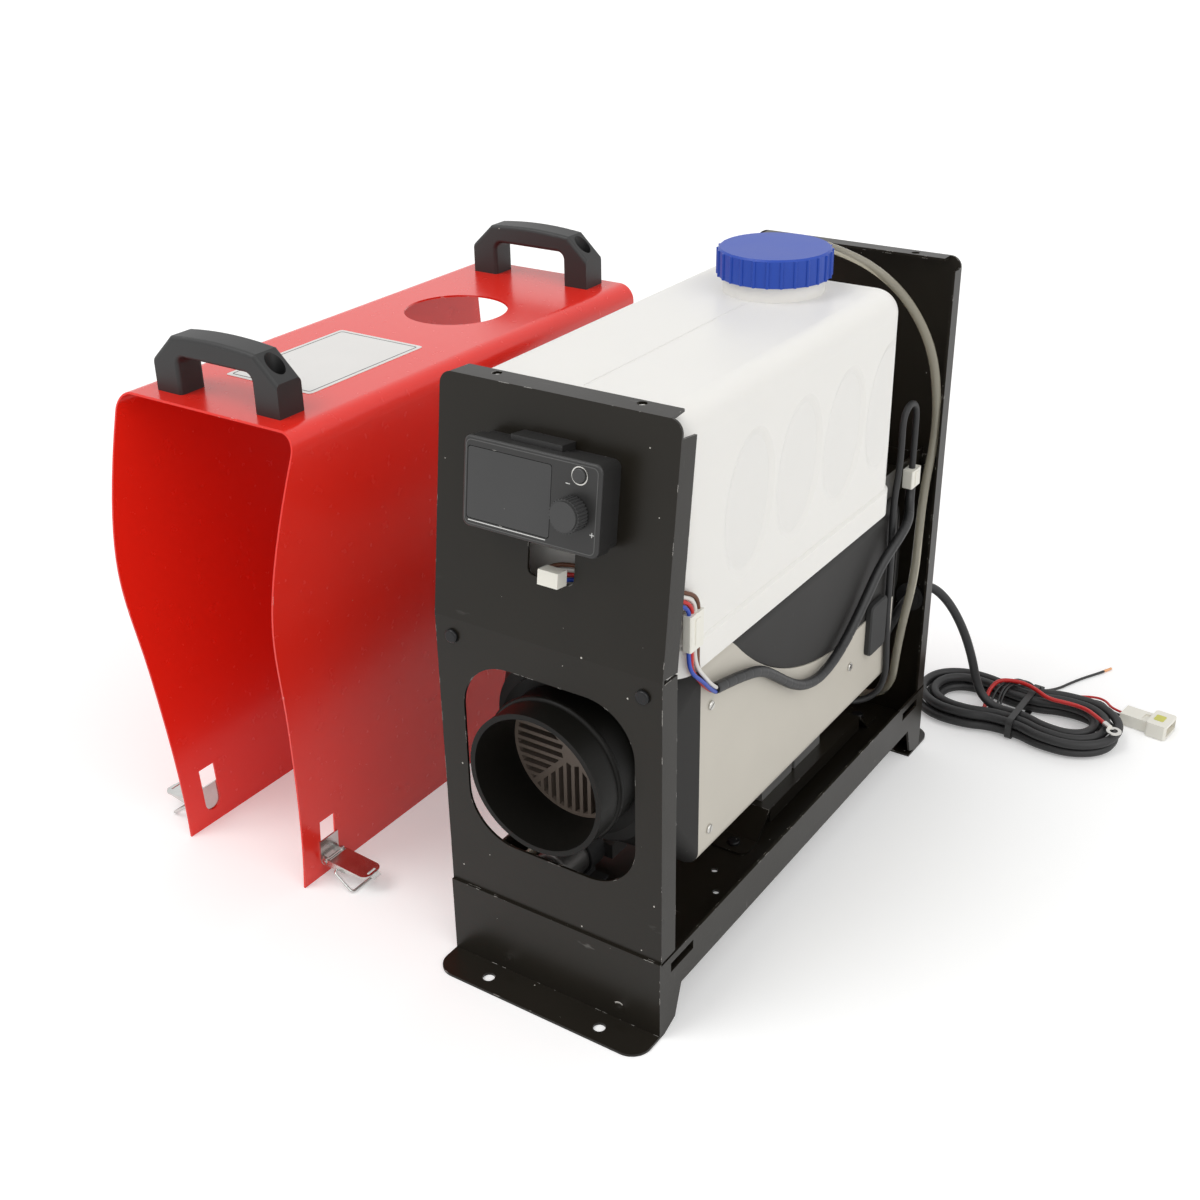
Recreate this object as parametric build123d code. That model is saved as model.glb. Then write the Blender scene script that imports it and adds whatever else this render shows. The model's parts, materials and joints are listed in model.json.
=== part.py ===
from build123d import *
import math
import os

# Diesel air heater with its tank, controller and leads, and the sheet cover that is lifted
# off and stands beside it. Millimetres; X right, Y back, Z up. The origin lies on the floor,
# at the centre of the four foot-bolt holes.

# ------------------------------------------------------------------ frame
FRAME_W = 140.0
FRAME_D = 349.6
SHEET = 1.5
TRAY_Z = 24.0
RAIL_TOP = 49.2
END_PLATE_TOP = 51.0
FOOT_REACH = 21.2
FOOT_CORNER_R = 12.0
FOOT_HOLE_R = 3.5
FOOT_HOLE_EDGE = 10.0
FOOT_HOLE_SPACING_X = 76.0
REAR_STRIP_INNER = 17.0
GUSSET_TOP_W = 23.0
GUSSET_LOW_W = 16.0
GUSSET_LOW_Z = 4.4
GUSSET_TOE = 5.0
RAIL_SLOT_L = 23.5
RAIL_SLOT_H = 5.9
RAIL_SLOT_Z = 38.6
RAIL_SLOT_INSET = 11.3
FLOOR_CUT_L = 92.0
FLOOR_CUT_W = 70.0
FLOOR_CUT_R = 10.0
FLOOR_HOLE_R = 2.0
FIT = 0.3

# ------------------------------------------------------------------ front and rear panels
PANEL_TOP = 351.0
BEND_Z = 222.4
UPPER_LEAN = 7.5
FRONT_FLANGE = 14.0
REAR_FLANGE = 10.0
PANEL_CORNER_R = 7.0
RELIEF = 1.5
TOP_NOTCH = 9.0
WINDOW_W = 108.0
WINDOW_Z0 = 89.0
WINDOW_Z1 = 201.0
WINDOW_R = 30.0
TOP_HOLE_X = 42.0
TOP_HOLE_R = 2.6
TOP_FLANGE_INSET = 6.0
INTAKE_HOLE_R = 44.0
LEAD_X = 56.0
LEAD_Z = 117.0
LEAD_HOLE_R = 6.5

# ------------------------------------------------------------------ controller
CTRL_W = 80.0
CTRL_H = 46.0
CTRL_UP = 83.0
CRADLE_DEPTH = 8.0
CASE_DEPTH = 10.0
CASE_R = 4.0
CRADLE_RIM = 2.0
CLIP_W = 30.0
CLIP_H = 4.0
CLIP_X = -2.0
SCREEN_W = 49.0
SCREEN_H = 36.0
SCREEN_X = -12.5
SCREEN_UP = -0.2
SCREEN_T = 1.2
KNOB_X = 25.5
KNOB_UP = -2.5
KNOB_R = 8.5
KNOB_H = 9.0
KNOB_RIBS = 30
KNOB_SHAFT_R = 3.0
KNOB_RIB_R = 0.5
BUTTON_X = 28.0
BUTTON_UP = 16.0
BUTTON_R = 3.6
BUTTON_PROUD = 1.6
BUTTON_TRAVEL = 1.0
BUTTON_STEM = 4.0
PANEL_CUT_W = 28.0
PANEL_CUT_H = 22.0
PANEL_CUT_X = 2.0
PANEL_CUT_UP = 47.0

# ------------------------------------------------------------------ heater core
CORE_W = 120.0
CORE_Z0 = 76.0
CORE_Z1 = 206.0
CORE_Y0 = -119.0
CORE_Y1 = 130.0
CORE_R = 10.0
CORE_WALL = 2.0
AXIS_Z = 146.0
COVER_STEP = 0.5
SPLIT_TOP_Y = -90.0
SPLIT_MID = (-38.0, 164.0)
SPLIT_LOW = (50.0, 136.0)
OUTLET_CAP_L = 27.0
INTAKE_CAP_L = 28.0
CAP_WALL = 2.5
CAP_MOUTH = 100.0
CAP_MOUTH_R = 38.0
DUCT_R = 41.5
DUCT_BORE_R = 38.5
DUCT_RIM_Y = -186.0
DUCT_BEAD_Y = -168.0
DUCT_BEAD_R = 43.2
DUCT_FLANGE_R = 48.0
DUCT_FLANGE_T = 2.5
GRILLE_T = 4.0
GRILLE_HUB_R = 7.0
GRILLE_RIB = 3.4
GRILLE_SLAT = 2.2
GRILLE_PITCH = 5.2
INTAKE_R = 37.0
GUARD_RINGS = 3
GUARD_WIRE = 2.0

# ------------------------------------------------------------------ inside the core
EXCH_Y0 = -106.0
EXCH_Y1 = 40.0
EXCH_R = 34.0
EXCH_BORE_R = 26.0
EXCH_FIN_R = 47.0
EXCH_FINS = 20
EXCH_FIN_END = 12.0
FIN_T = 2.4
EXCH_FOOT_Y0 = 0.0
FOOT_W = 74.0
NECK_W = 56.0
NECK_STEP = 7.0
NECK_GAP = 2.0
EXHAUST_Y = 22.0
AIR_PIPE_Y = 63.0
EXHAUST_R = 12.0
AIR_PIPE_R = 10.0
PIPE_END_Z = 9.0
PIPE_WALL = 1.5
BURNER_R = 23.0
BURNER_FLANGE_R = 31.0
BURNER_FLANGE_T = 4.0
BLOWER_R = 40.0
BLOWER_L = 36.0
BLOWER_WALL = 4.0
BLOWER_CHAMBER_R = 34.0
BLOWER_CHAMBER_L = 20.0
BLOWER_EYE_R = 12.0
MOTOR_R = 21.0
MOTOR_L = 32.0
SHAFT_R = 3.0
SHAFT_FIT = 0.3
SHAFT_SEAT = 0.05
SHAFT_PROUD = 3.0
FAN_GAP = 5.0
FAN_L = 20.0
FAN_R = 46.0
FAN_HUB_R = 21.0
FAN_HUB_WALL = 3.0
FAN_BLADES = 9
FAN_BLADE_T = 2.0
FAN_ROOT_PITCH = 52.0
FAN_TIP_PITCH = 34.0
IMPELLER_R = 31.0
IMPELLER_BOSS_R = 8.0
IMPELLER_DISC_T = 2.0
IMPELLER_VANES = 14
IMPELLER_VANE_T = 1.6
IMPELLER_GAP = 2.5
PLUG_BOSS_R = 8.0
PLUG_Y = 28.0
PLUG_R = 5.0
PLUG_TIP_R = 2.4
PLUG_TOP_Z = 198.0
BOARD_W = 62.0
BOARD_L = 50.0
BOARD_T = 1.6
BOARD_POST = 3.0
BOARD_PAD_W = 46.0

# ------------------------------------------------------------------ core bracket
BRACKET_W = 91.0
BRACKET_Y0 = -6.0
BRACKET_Y1 = 125.0
BRACKET_RISE = 15.0
BRACKET_TAB = 16.0
BRACKET_LIP = 10.0
BRACKET_SCREW_X = 33.7
BRACKET_CUT_W = 50.0
SCREW_R = 1.9
SCREW_HEAD_R = 4.0
SCREW_HEAD_H = 2.2
SCREW_TAIL = 2.0

# ------------------------------------------------------------------ tank and fuel line
TANK_W = 129.0
TANK_BAND = 1.5
TANK_BAND_H = 17.0
TANK_Y0 = -150.0
TANK_Y1 = 106.0
TANK_Z0 = 209.0
TANK_TOP = 348.0
TANK_WALL = 2.5
TANK_R = 14.0
TANK_CORNER_R = 16.0
DISH_COUNT = 4
DISH_Y = -80.0
DISH_Z = 281.0
DISH_PITCH = 55.0
DISH_HALF_W = 26.0
DISH_HALF_H = 40.0
DISH_TILT = -10.0
DISH_SLOPE = 4.5
DISH_DEPTH = 1.4
NECK_Y = 62.0
NECK_R = 29.4
NECK_BORE_R = 24.5
NECK_H = 20.0
CAP_FIT = 0.6
CAP_SIDE_T = 2.4
CAP_H = 16.0
CAP_TOP_T = 3.0
CAP_RIBS = 26
CAP_RIB_R = 1.0
LINER_T = 1.4
SHELF_T = 1.2
SHELF_W = 112.0
SHELF_TAB_W = 132.0
SHELF_SCREW_X = 59.0
SHELF_SCREW_Z = 212.0
SHELF_FLANGE = 12.0
SHELF_FRONT_Y1 = -118.0
SHELF_REAR_Y0 = 78.0
SHELF_WEB_H = 16.0
PICKUP_BESIDE_CAP = 3.6
PICKUP_BEHIND_NECK = 20.0
PICKUP_R = 8.0
PICKUP_UP = 10.0
PICKUP_TUBE_R = 3.0
BARB_L = 8.0
HOSE_R = 2.9
PUMP_X = -30.0
PUMP_Z = 45.0
PUMP_R = 12.5
PUMP_Y0 = -134.0
PUMP_Y1 = -76.0
STUB_R = 3.4
STUB_L = 9.0
PUMP_CLIP_T = 1.8
PUMP_CLIP_L = 14.0
FILTER_X = -57.0
FILTER_Z = 34.3
FILTER_R = 8.5
FILTER_Y0 = -10.0
FILTER_Y1 = 24.0
FEED_X = -24.0
FEED_Z = 60.0

# ------------------------------------------------------------------ leads that the heater holds
HARNESS_R = 3.1
SENSOR_R = 2.1
WIRE_R = 1.1
SIDE_PLUG_X = 67.5
SIDE_PLUG_Y = -140.5
SIDE_PLUG_Z = 236.5
SIDE_PLUG = (5.0, 13.0, 20.0)
REAR_PLUG_X = 61.0
REAR_PLUG_Y = 142.5
REAR_PLUG_Z = 216.0
REAR_PLUG = (7.0, 13.0, 12.0)
PANEL_PLUG = (12.0, 8.0, 8.0)
PANEL_PLUG_X = 6.0
PANEL_PLUG_UP = 40.0
SIDE_BUNG = (24.0, 36.0, 4.0)
SIDE_BUNG_Y = 101.0
SIDE_BUNG_Z = 128.0
GROMMET_LIP = 3.2
GROMMET_LIP_T = 3.2
FLOOR_GROMMET_R = 6.0
FLOOR_GROMMET_H = 3.0

# ------------------------------------------------------------------ power lead
LEAD_R = 3.15
HANK_X = 115.0
HANK_Y = 245.0
HANK_HALF_RUN = 38.0
HANK_INNER = 16.2
HANK_PITCH = 7.15
HANK_KNOTS = 8
HANK_OUT_KNOTS = 20
HANK_IN_KNOTS = 18
HANK_LAYER = 6.9
HANK_WAIST = 6.0
HANK_LOW_Z = 4.7
HANK_LEAD_IN = 2.0
HANK_TAIL = 6.5
HANK_SAMPLES = 24
PARALLEL = 1e-9
TIE_X = 120.0
TIE_W = 4.6
TIE_T = 1.0
TIE_GAP = 0.35
TIE_SIDE_GAP = 0.8
TIE_R = 4.4
TIE_HEAD = 6.0
RING_WIRE_R = 1.5
BARE_WIRE_R = 1.0
PAIR_WIRE_R = 0.9
TERMINAL_X = 187.0
TERMINAL_Y = 239.0
TERMINAL_Z = 17.1
TERMINAL_ARM = (8.6, 6.8)
TERMINAL_R = 5.2
TERMINAL_HOLE_R = 2.7
TERMINAL_T = 0.8
CONNECTOR_BACK = (20.0, 14.0, 9.0)
CONNECTOR_FRONT = (15.0, 21.0, 11.0)
CONNECTOR_X = 181.0
CONNECTOR_Y = 286.0
CONNECTOR_TURN = -6.0

# ------------------------------------------------------------------ cover
COVER_X = -236.5
COVER_FRONT_EDGE = ((6.2, 0), (9.2, 104), (12.2, 137), (17.2, 190), (8.2, 246), (-9.8, 300))
COVER_TOP_W = 142.0
COVER_FOOT_W = 102.0
COVER_H = 300.0
COVER_T = 1.2
COVER_R = 11.0
COVER_REAR_INSET = 2.8
COVER_HOLE_GAP = 2.1
HANDLE_L = 97.0
HANDLE_W = 19.0
HANDLE_H = 34.5
HANDLE_ARCH = 2.0
HANDLE_FOOT = 19.5
HANDLE_SHOULDER = 20.0
HANDLE_TOP_HALF = 33.0
HANDLE_GRIP = 11.5
HANDLE_INNER_R = 5.0
HANDLE_EDGE_R = 2.5
HANDLE_FRONT_Y = -144.5
HANDLE_REAR_Y = 155.0
POCKET_R = 5.5
POCKET_X = 39.5
POCKET_FLOOR = 7.0
SLOT_W = 13.0
SLOT_Z0 = 9.0
SLOT_Z1 = 41.0

# ------------------------------------------------------------------ latches of the cover
LATCH_INSET = 16.3
LATCH_PLATE_W = 16.0
LATCH_PLATE_Z0 = 5.5
LATCH_PLATE_Z1 = 27.0
LATCH_T = 1.0
EAR_Y = 6.5
EAR_R = 2.6
HINGE_OUT = 4.4
HINGE_Z = 13.5
HINGE_R = 1.3
HINGE_END = 8.9
LEVER_L = 33.0
LEVER_W = 16.6
LEVER_T = 1.0
LEVER_START = 3.4
LEVER_LIP_L = 14.0
LEVER_TIP_R = 5.0
BAIL_OUT = 9.6
BAIL_DROP = 1.6
BAIL_R = 0.9
BAIL_L = 17.0
BAIL_W = 23.5
BAIL_CORNER_R = 2.5
BAIL_STUB = 7.0
BAIL_FLOOR_GAP = 0.15
PIVOT_FIT = 0.25


# ================================================================== helpers
def slab(x, y, z):
    """Box between the low and the high value along each axis."""
    size = [high - low for low, high in (x, y, z)]
    centre = [(high + low) / 2 for low, high in (x, y, z)]
    return Pos(*centre) * Box(*size)


def rod(start, end, radius):
    """Round bar from one point to another."""
    start = Vector(*start)
    along = Vector(*end) - start
    return Solid.make_cylinder(radius, along.length, Plane(origin=start, z_dir=along))


def along_x(sketch, x0, x1):
    """Prism of a sketch drawn in (y, z), from x0 to x1."""
    return extrude(Plane.YZ.offset(x0) * sketch, amount=x1 - x0)


def along_y(sketch, y0, y1):
    """Prism of a sketch drawn in (x, z), from y0 to y1."""
    return extrude(Plane.XZ.offset(-y0) * sketch, amount=y0 - y1)


def along_z(sketch, z0, z1):
    """Prism of a sketch drawn in (x, y), from z0 to z1."""
    return extrude(Plane.XY.offset(z0) * sketch, amount=z1 - z0)


def outline(*points):
    """Closed face through the points, in order."""
    return make_face(Polyline(*points, close=True))


def on_axis(sketch, y0, y1, x=0.0, z=AXIS_Z):
    """Prism along Y of a sketch drawn about the axis at (x, z)."""
    return along_y(Pos(x, z) * sketch, y0, y1)


def both_sides(shape):
    """The shape and its mirror image across the plane x = 0."""
    return shape + mirror(shape, about=Plane.YZ)


def bend_radii(points):
    """Largest tangent arc for each corner of a route, from the runs beside it."""
    radii = []
    for before, corner, after in zip(points, points[1:], points[2:]):
        run_in = Vector(*corner) - Vector(*before)
        run_out = Vector(*after) - Vector(*corner)
        turn = math.radians(run_in.get_angle(run_out))
        radii.append(0.45 * min(run_in.length, run_out.length) / math.tan(turn / 2))
    return radii


def tube(name, points, radius):
    """Round tube along straight runs joined by tangent arcs; prints its tightest bend."""
    radii = bend_radii(points)
    path = FilletPolyline(*points, radius=radii)
    section = Plane(origin=path @ 0, z_dir=path % 0) * Circle(radius)
    solid = sweep(section, path=path)
    filled = solid.volume / (math.pi * radius**2 * path.length)
    print(f"{name}: length {path.length:.0f}, tightest radius {min(radii):.1f}, volume ratio {filled:.3f}")
    return solid


def upper_plane(out=0.0):
    """Plane of the leaning upper panel: x across, y up the panel, z outward."""
    lean = math.radians(UPPER_LEAN)
    outward = Vector(0, -math.cos(lean), math.sin(lean))
    start = Vector(0, PANEL_FRONT_Y, BEND_Z) + outward * out
    return Plane(origin=start, x_dir=(1, 0, 0), z_dir=outward)


# sizes that follow from the driving ones
HALF_W = FRAME_W / 2
HALF_D = FRAME_D / 2
FLOOR_TOP = TRAY_Z + SHEET
PANEL_FRONT_Y = -(HALF_D - SHEET)
PANEL_REAR_Y = HALF_D - SHEET
HOLE_Y = HALF_D + FOOT_REACH - FOOT_HOLE_EDGE
LEAN = math.radians(UPPER_LEAN)
UPPER_LEN = (PANEL_TOP - BEND_Z) / math.cos(LEAN)
PANEL_TOP_Y = PANEL_FRONT_Y + UPPER_LEN * math.sin(LEAN)
BRACKET_TOP = FLOOR_TOP + SHEET + BRACKET_RISE
OUTLET_Y = CORE_Y0 - OUTLET_CAP_L
INTAKE_Y = CORE_Y1 + INTAKE_CAP_L
CORE_MID_Z = (CORE_Z0 + CORE_Z1) / 2
CORE_H = CORE_Z1 - CORE_Z0
BLOWER_Y0 = EXCH_Y1 + BURNER_FLANGE_T
BLOWER_Y1 = BLOWER_Y0 + BLOWER_L
CHAMBER_Y1 = BLOWER_Y0 + BLOWER_WALL + BLOWER_CHAMBER_L
MOTOR_Y1 = BLOWER_Y1 + MOTOR_L
FAN_Y0 = MOTOR_Y1 + FAN_GAP
IMPELLER_Y0 = BLOWER_Y0 + BLOWER_WALL + IMPELLER_GAP
IMPELLER_Y1 = CHAMBER_Y1 - IMPELLER_GAP
BOARD_Z = AXIS_Z + BLOWER_R + BOARD_POST
SHELF_Z = TANK_Z0 - SHELF_T
NECK_TOP = TANK_TOP + NECK_H
CAP_BORE_R = NECK_R + CAP_FIT
CAP_R = CAP_BORE_R + CAP_SIDE_T
PICKUP_X = -(CAP_R + PICKUP_BESIDE_CAP)
PICKUP_Y = NECK_Y + PICKUP_BEHIND_NECK
CAP_TOP = NECK_TOP + 2 * FIT + LINER_T + CAP_TOP_T
CAP_Z0 = CAP_TOP - CAP_H
COVER_HOLE_R = CAP_R + COVER_HOLE_GAP
COVER_REAR_Y = HALF_D - COVER_REAR_INSET
LATCH_Y = HALF_D - LATCH_INSET
CASE_FRONT = CRADLE_DEPTH + CASE_DEPTH
LEAD_OUT_Y = PANEL_REAR_Y + GROMMET_LIP_T
LEAD_IN_Y = PANEL_REAR_Y - SHEET - GROMMET_LIP_T
COVER_LEAN = math.atan((COVER_TOP_W - COVER_FOOT_W) / 2 / COVER_H)
HANK_HIGH_Z = HANK_LOW_Z + HANK_LAYER


# ================================================================== frame
def gusset_face():
    """Side view of the front leg: the rail runs down into a tapering foot."""
    y0 = -HALF_D
    return outline(
        (y0, FLOOR_TOP),
        (y0 + GUSSET_TOP_W, FLOOR_TOP),
        (y0 + GUSSET_LOW_W, GUSSET_LOW_Z),
        (y0 + GUSSET_TOE, 0),
        (y0, 0),
    )


def rail_slots():
    """Slots in both rails, at both ends, that the cover's bails hook into."""
    y0 = -HALF_D + RAIL_SLOT_INSET
    through = (-HALF_W - SHEET, HALF_W + SHEET)
    slot = slab(through, (y0, y0 + RAIL_SLOT_L), (RAIL_SLOT_Z, RAIL_SLOT_Z + RAIL_SLOT_H))
    return slot + mirror(slot, about=Plane.XZ)


def foot_strip(y_inner):
    """Floor strip of one end, from the inner edge to the outer one, with two bolt holes."""
    y_outer = HALF_D + FOOT_REACH
    middle = (y_inner + y_outer) / 2
    flat = Pos(0, middle) * Rectangle(FRAME_W, y_outer - y_inner)
    flat = fillet(flat.vertices().sort_by(Axis.Y)[-2:], FOOT_CORNER_R)
    for x in (-FOOT_HOLE_SPACING_X / 2, FOOT_HOLE_SPACING_X / 2):
        flat -= Pos(x, HOLE_Y) * Circle(FOOT_HOLE_R)
    return along_z(flat, 0, SHEET)


def bracket_screws():
    """Places of the four screws that hold the core bracket to the tray."""
    ends = (BRACKET_Y0 - BRACKET_RISE - BRACKET_TAB / 2, BRACKET_Y1 + BRACKET_RISE + BRACKET_TAB / 2)
    return [(x, y) for y in ends for x in (-BRACKET_SCREW_X, BRACKET_SCREW_X)]


def base_tray():
    """Folded tray with rails, end plates, legs and the two bolted foot strips."""
    tray = slab((-HALF_W, HALF_W), (-HALF_D, HALF_D), (TRAY_Z, FLOOR_TOP))
    rail = slab((HALF_W - SHEET, HALF_W), (-HALF_D, HALF_D), (TRAY_Z, RAIL_TOP))
    leg = along_x(gusset_face(), HALF_W - SHEET, HALF_W)
    end = slab((-HALF_W, HALF_W), (-HALF_D, -HALF_D + SHEET), (0, END_PLATE_TOP))
    tray += both_sides(rail) + both_sides(leg) + both_sides(mirror(leg, about=Plane.XZ))
    tray += end + mirror(end, about=Plane.XZ)
    tray += mirror(foot_strip(HALF_D - SHEET), about=Plane.XZ)
    tray += foot_strip(HALF_D - REAR_STRIP_INNER)
    tray -= rail_slots()
    cut = RectangleRounded(FLOOR_CUT_W, FLOOR_CUT_L, FLOOR_CUT_R)
    cut_y = (EXHAUST_Y + AIR_PIPE_Y) / 2
    tray -= along_z(Pos(0, cut_y) * cut, TRAY_Z - SHEET, FLOOR_TOP + SHEET)
    for x, y in ((36.5, -57.7), (47.6, -75.4)):
        tray -= along_z(Pos(x, y) * Circle(FLOOR_HOLE_R), TRAY_Z - SHEET, FLOOR_TOP + SHEET)
    for x, y in bracket_screws():
        tray -= along_z(Pos(x, y) * Circle(SCREW_R + FIT), TRAY_Z - SHEET, FLOOR_TOP + SHEET)
    return tray


def shelf_screw_holes():
    """Clearance holes, through both panels, for the screws that hold the shelves."""
    holes = []
    for x in (-SHELF_SCREW_X, SHELF_SCREW_X):
        for y in (PANEL_FRONT_Y, PANEL_REAR_Y):
            holes.append(rod((x, y - 3 * SHEET, SHELF_SCREW_Z), (x, y + 3 * SHEET, SHELF_SCREW_Z), SCREW_R + FIT))
    return holes


def front_panel():
    """Sheet with the duct window below the bend and the leaning controller panel above it."""
    face = Pos(0, (END_PLATE_TOP + BEND_Z) / 2) * Rectangle(FRAME_W, BEND_Z - END_PLATE_TOP)
    tongue_w = FRAME_W - 2 * SHEET - 2 * FIT
    tongue_z = (FLOOR_TOP + END_PLATE_TOP) / 2
    face += Pos(0, tongue_z) * Rectangle(tongue_w, END_PLATE_TOP - FLOOR_TOP)
    window = RectangleRounded(WINDOW_W, WINDOW_Z1 - WINDOW_Z0, WINDOW_R)
    face -= Pos(0, (WINDOW_Z0 + WINDOW_Z1) / 2) * window
    panel = along_y(face, PANEL_FRONT_Y, PANEL_FRONT_Y + SHEET)
    side_y = (PANEL_FRONT_Y, PANEL_FRONT_Y + FRONT_FLANGE)
    side = slab((HALF_W - SHEET, HALF_W), side_y, (END_PLATE_TOP, BEND_Z - RELIEF))
    panel += both_sides(side)

    lean = upper_plane()
    upper = Pos(0, UPPER_LEN / 2) * Rectangle(FRAME_W, UPPER_LEN)
    upper = fillet(upper.vertices().sort_by(Axis.Y)[-2:], PANEL_CORNER_R)
    upper -= Pos(PANEL_CUT_X, PANEL_CUT_UP) * RectangleRounded(PANEL_CUT_W, PANEL_CUT_H, CASE_R)
    panel += extrude(lean * upper, amount=-SHEET)
    flange_len = UPPER_LEN - TOP_NOTCH - RELIEF
    flange = Pos(HALF_W - SHEET / 2, RELIEF + flange_len / 2) * Rectangle(SHEET, flange_len)
    panel += both_sides(extrude(lean * flange, amount=-FRONT_FLANGE))

    half_top = HALF_W - TOP_FLANGE_INSET
    top = outline(
        (-half_top, PANEL_TOP_Y),
        (half_top, PANEL_TOP_Y),
        (half_top - SHEET, PANEL_TOP_Y + FRONT_FLANGE),
        (-half_top + SHEET, PANEL_TOP_Y + FRONT_FLANGE),
    )
    for x in (-TOP_HOLE_X, TOP_HOLE_X):
        top -= Pos(x, PANEL_TOP_Y + FRONT_FLANGE * 0.7) * Circle(TOP_HOLE_R)
    return panel + along_z(top, PANEL_TOP - SHEET, PANEL_TOP) - shelf_screw_holes()


def rear_panel():
    """Upright sheet with a round air intake and the hole that the power lead passes."""
    face = Pos(0, (END_PLATE_TOP + PANEL_TOP) / 2) * Rectangle(FRAME_W, PANEL_TOP - END_PLATE_TOP)
    face = fillet(face.vertices().sort_by(Axis.Y)[-2:], PANEL_CORNER_R)
    tongue_z = (FLOOR_TOP + END_PLATE_TOP) / 2
    tongue_w = FRAME_W - 2 * SHEET - 2 * FIT
    face += Pos(0, tongue_z) * Rectangle(tongue_w, END_PLATE_TOP - FLOOR_TOP)
    face -= Pos(0, AXIS_Z) * Circle(INTAKE_HOLE_R)
    face -= Pos(LEAD_X, LEAD_Z) * Circle(LEAD_HOLE_R)
    panel = along_y(face, PANEL_REAR_Y - SHEET, PANEL_REAR_Y)
    side_y = (PANEL_REAR_Y - REAR_FLANGE, PANEL_REAR_Y)
    side = slab((HALF_W - SHEET, HALF_W), side_y, (END_PLATE_TOP, PANEL_TOP - PANEL_CORNER_R))
    half_top = HALF_W - TOP_FLANGE_INSET - SHEET
    top = slab((-half_top, half_top), side_y, (PANEL_TOP - SHEET, PANEL_TOP))
    hole_y = PANEL_REAR_Y - REAR_FLANGE * 0.6
    for x in (-TOP_HOLE_X, TOP_HOLE_X):
        top -= along_z(Pos(x, hole_y) * Circle(TOP_HOLE_R), PANEL_TOP - 2 * SHEET, PANEL_TOP + SHEET)
    return panel + both_sides(side) + top - shelf_screw_holes()


def core_bracket():
    """Raised folded bridge that the core's feet stand on, with down-turned lips."""
    low = FLOOR_TOP
    y0 = BRACKET_Y0 - BRACKET_RISE
    y1 = BRACKET_Y1 + BRACKET_RISE
    slant = SHEET * 0.4
    profile = outline(
        (y0 - BRACKET_TAB, low),
        (y0 + slant, low),
        (BRACKET_Y0 + slant, BRACKET_TOP - SHEET),
        (BRACKET_Y1 - slant, BRACKET_TOP - SHEET),
        (y1 - slant, low),
        (y1 + BRACKET_TAB, low),
        (y1 + BRACKET_TAB, low + SHEET),
        (y1, low + SHEET),
        (BRACKET_Y1, BRACKET_TOP),
        (BRACKET_Y0, BRACKET_TOP),
        (y0, low + SHEET),
        (y0 - BRACKET_TAB, low + SHEET),
    )
    half = BRACKET_W / 2
    bridge = along_x(profile, -half, half)
    bridge = fillet(bridge.edges().filter_by(Axis.Z).group_by(Axis.Y)[0], BRACKET_TAB / 3)
    bridge = fillet(bridge.edges().filter_by(Axis.Z).group_by(Axis.Y)[-1], BRACKET_TAB / 3)
    lip_y = (BRACKET_Y0 + SHEET, BRACKET_Y1 - SHEET)
    bridge += both_sides(slab((half - SHEET, half), lip_y, (BRACKET_TOP - BRACKET_LIP, BRACKET_TOP)))
    cut_l = AIR_PIPE_Y - EXHAUST_Y + EXHAUST_R + AIR_PIPE_R + NECK_STEP
    cut = RectangleRounded(BRACKET_CUT_W, cut_l, FLOOR_CUT_R)
    cut_y = (EXHAUST_Y + AIR_PIPE_Y) / 2
    bridge -= along_z(Pos(0, cut_y) * cut, BRACKET_TOP - 2 * SHEET, BRACKET_TOP + SHEET)
    for x, y in bracket_screws():
        bridge -= along_z(Pos(x, y) * Circle(SCREW_R + FIT), low - SHEET, low + 2 * SHEET)
    return bridge


def tank_brackets():
    """Two shelves that carry the tank between the panels."""
    front_y = PANEL_FRONT_Y + SHEET
    rear_y = PANEL_REAR_Y - SHEET
    half = SHELF_W / 2
    tab = (-SHELF_TAB_W / 2, SHELF_TAB_W / 2)
    tab_z = (SHELF_Z, TANK_Z0 + SHELF_FLANGE)
    front = slab((-half, half), (front_y, SHELF_FRONT_Y1), (SHELF_Z, TANK_Z0))
    front += slab(tab, (front_y, front_y + SHELF_T), tab_z)
    rear = slab((-half, half), (SHELF_REAR_Y0, rear_y), (SHELF_Z, TANK_Z0))
    rear += slab(tab, (rear_y - SHELF_T, rear_y), tab_z)
    web_y = (TANK_Y1 + TANK_BAND + SHELF_T, rear_y)
    web = slab((half - SHELF_T, half), web_y, (SHELF_Z, TANK_Z0 + SHELF_WEB_H))
    rear += both_sides(web)
    holes = shelf_screw_holes()
    return Compound([(front - holes).solid(), (rear - holes).solid()])


def screw(at, out):
    """Pan-head screw; its head stands on the sheet at the point, facing along out."""
    at = Vector(*at)
    out = Vector(*out)
    head = rod(at, at + out * SCREW_HEAD_H, SCREW_HEAD_R)
    head = fillet(head.edges().sort_by(Axis(tuple(at), tuple(out)))[-1], SCREW_HEAD_H * 0.6)
    return (head + rod(at - out * (2 * SHEET + SCREW_TAIL), at + out * SCREW_HEAD_H / 2, SCREW_R)).solid()


def frame_screws():
    """Screws of the bracket and of both shelves, as separate solids."""
    screws = [screw((x, y, FLOOR_TOP + SHEET), (0, 0, 1)) for x, y in bracket_screws()]
    for x in (-SHELF_SCREW_X, SHELF_SCREW_X):
        screws.append(screw((x, PANEL_FRONT_Y, SHELF_SCREW_Z), (0, -1, 0)))
        screws.append(screw((x, PANEL_REAR_Y, SHELF_SCREW_Z), (0, 1, 0)))
    return Compound(screws)


# ================================================================== heater core
def core_section(inset):
    """Rounded section of the core casing, moved in from its outside."""
    radius = max(CORE_R - inset, 1.0)
    return Pos(0, CORE_MID_Z) * RectangleRounded(CORE_W - 2 * inset, CORE_H - 2 * inset, radius)


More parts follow.
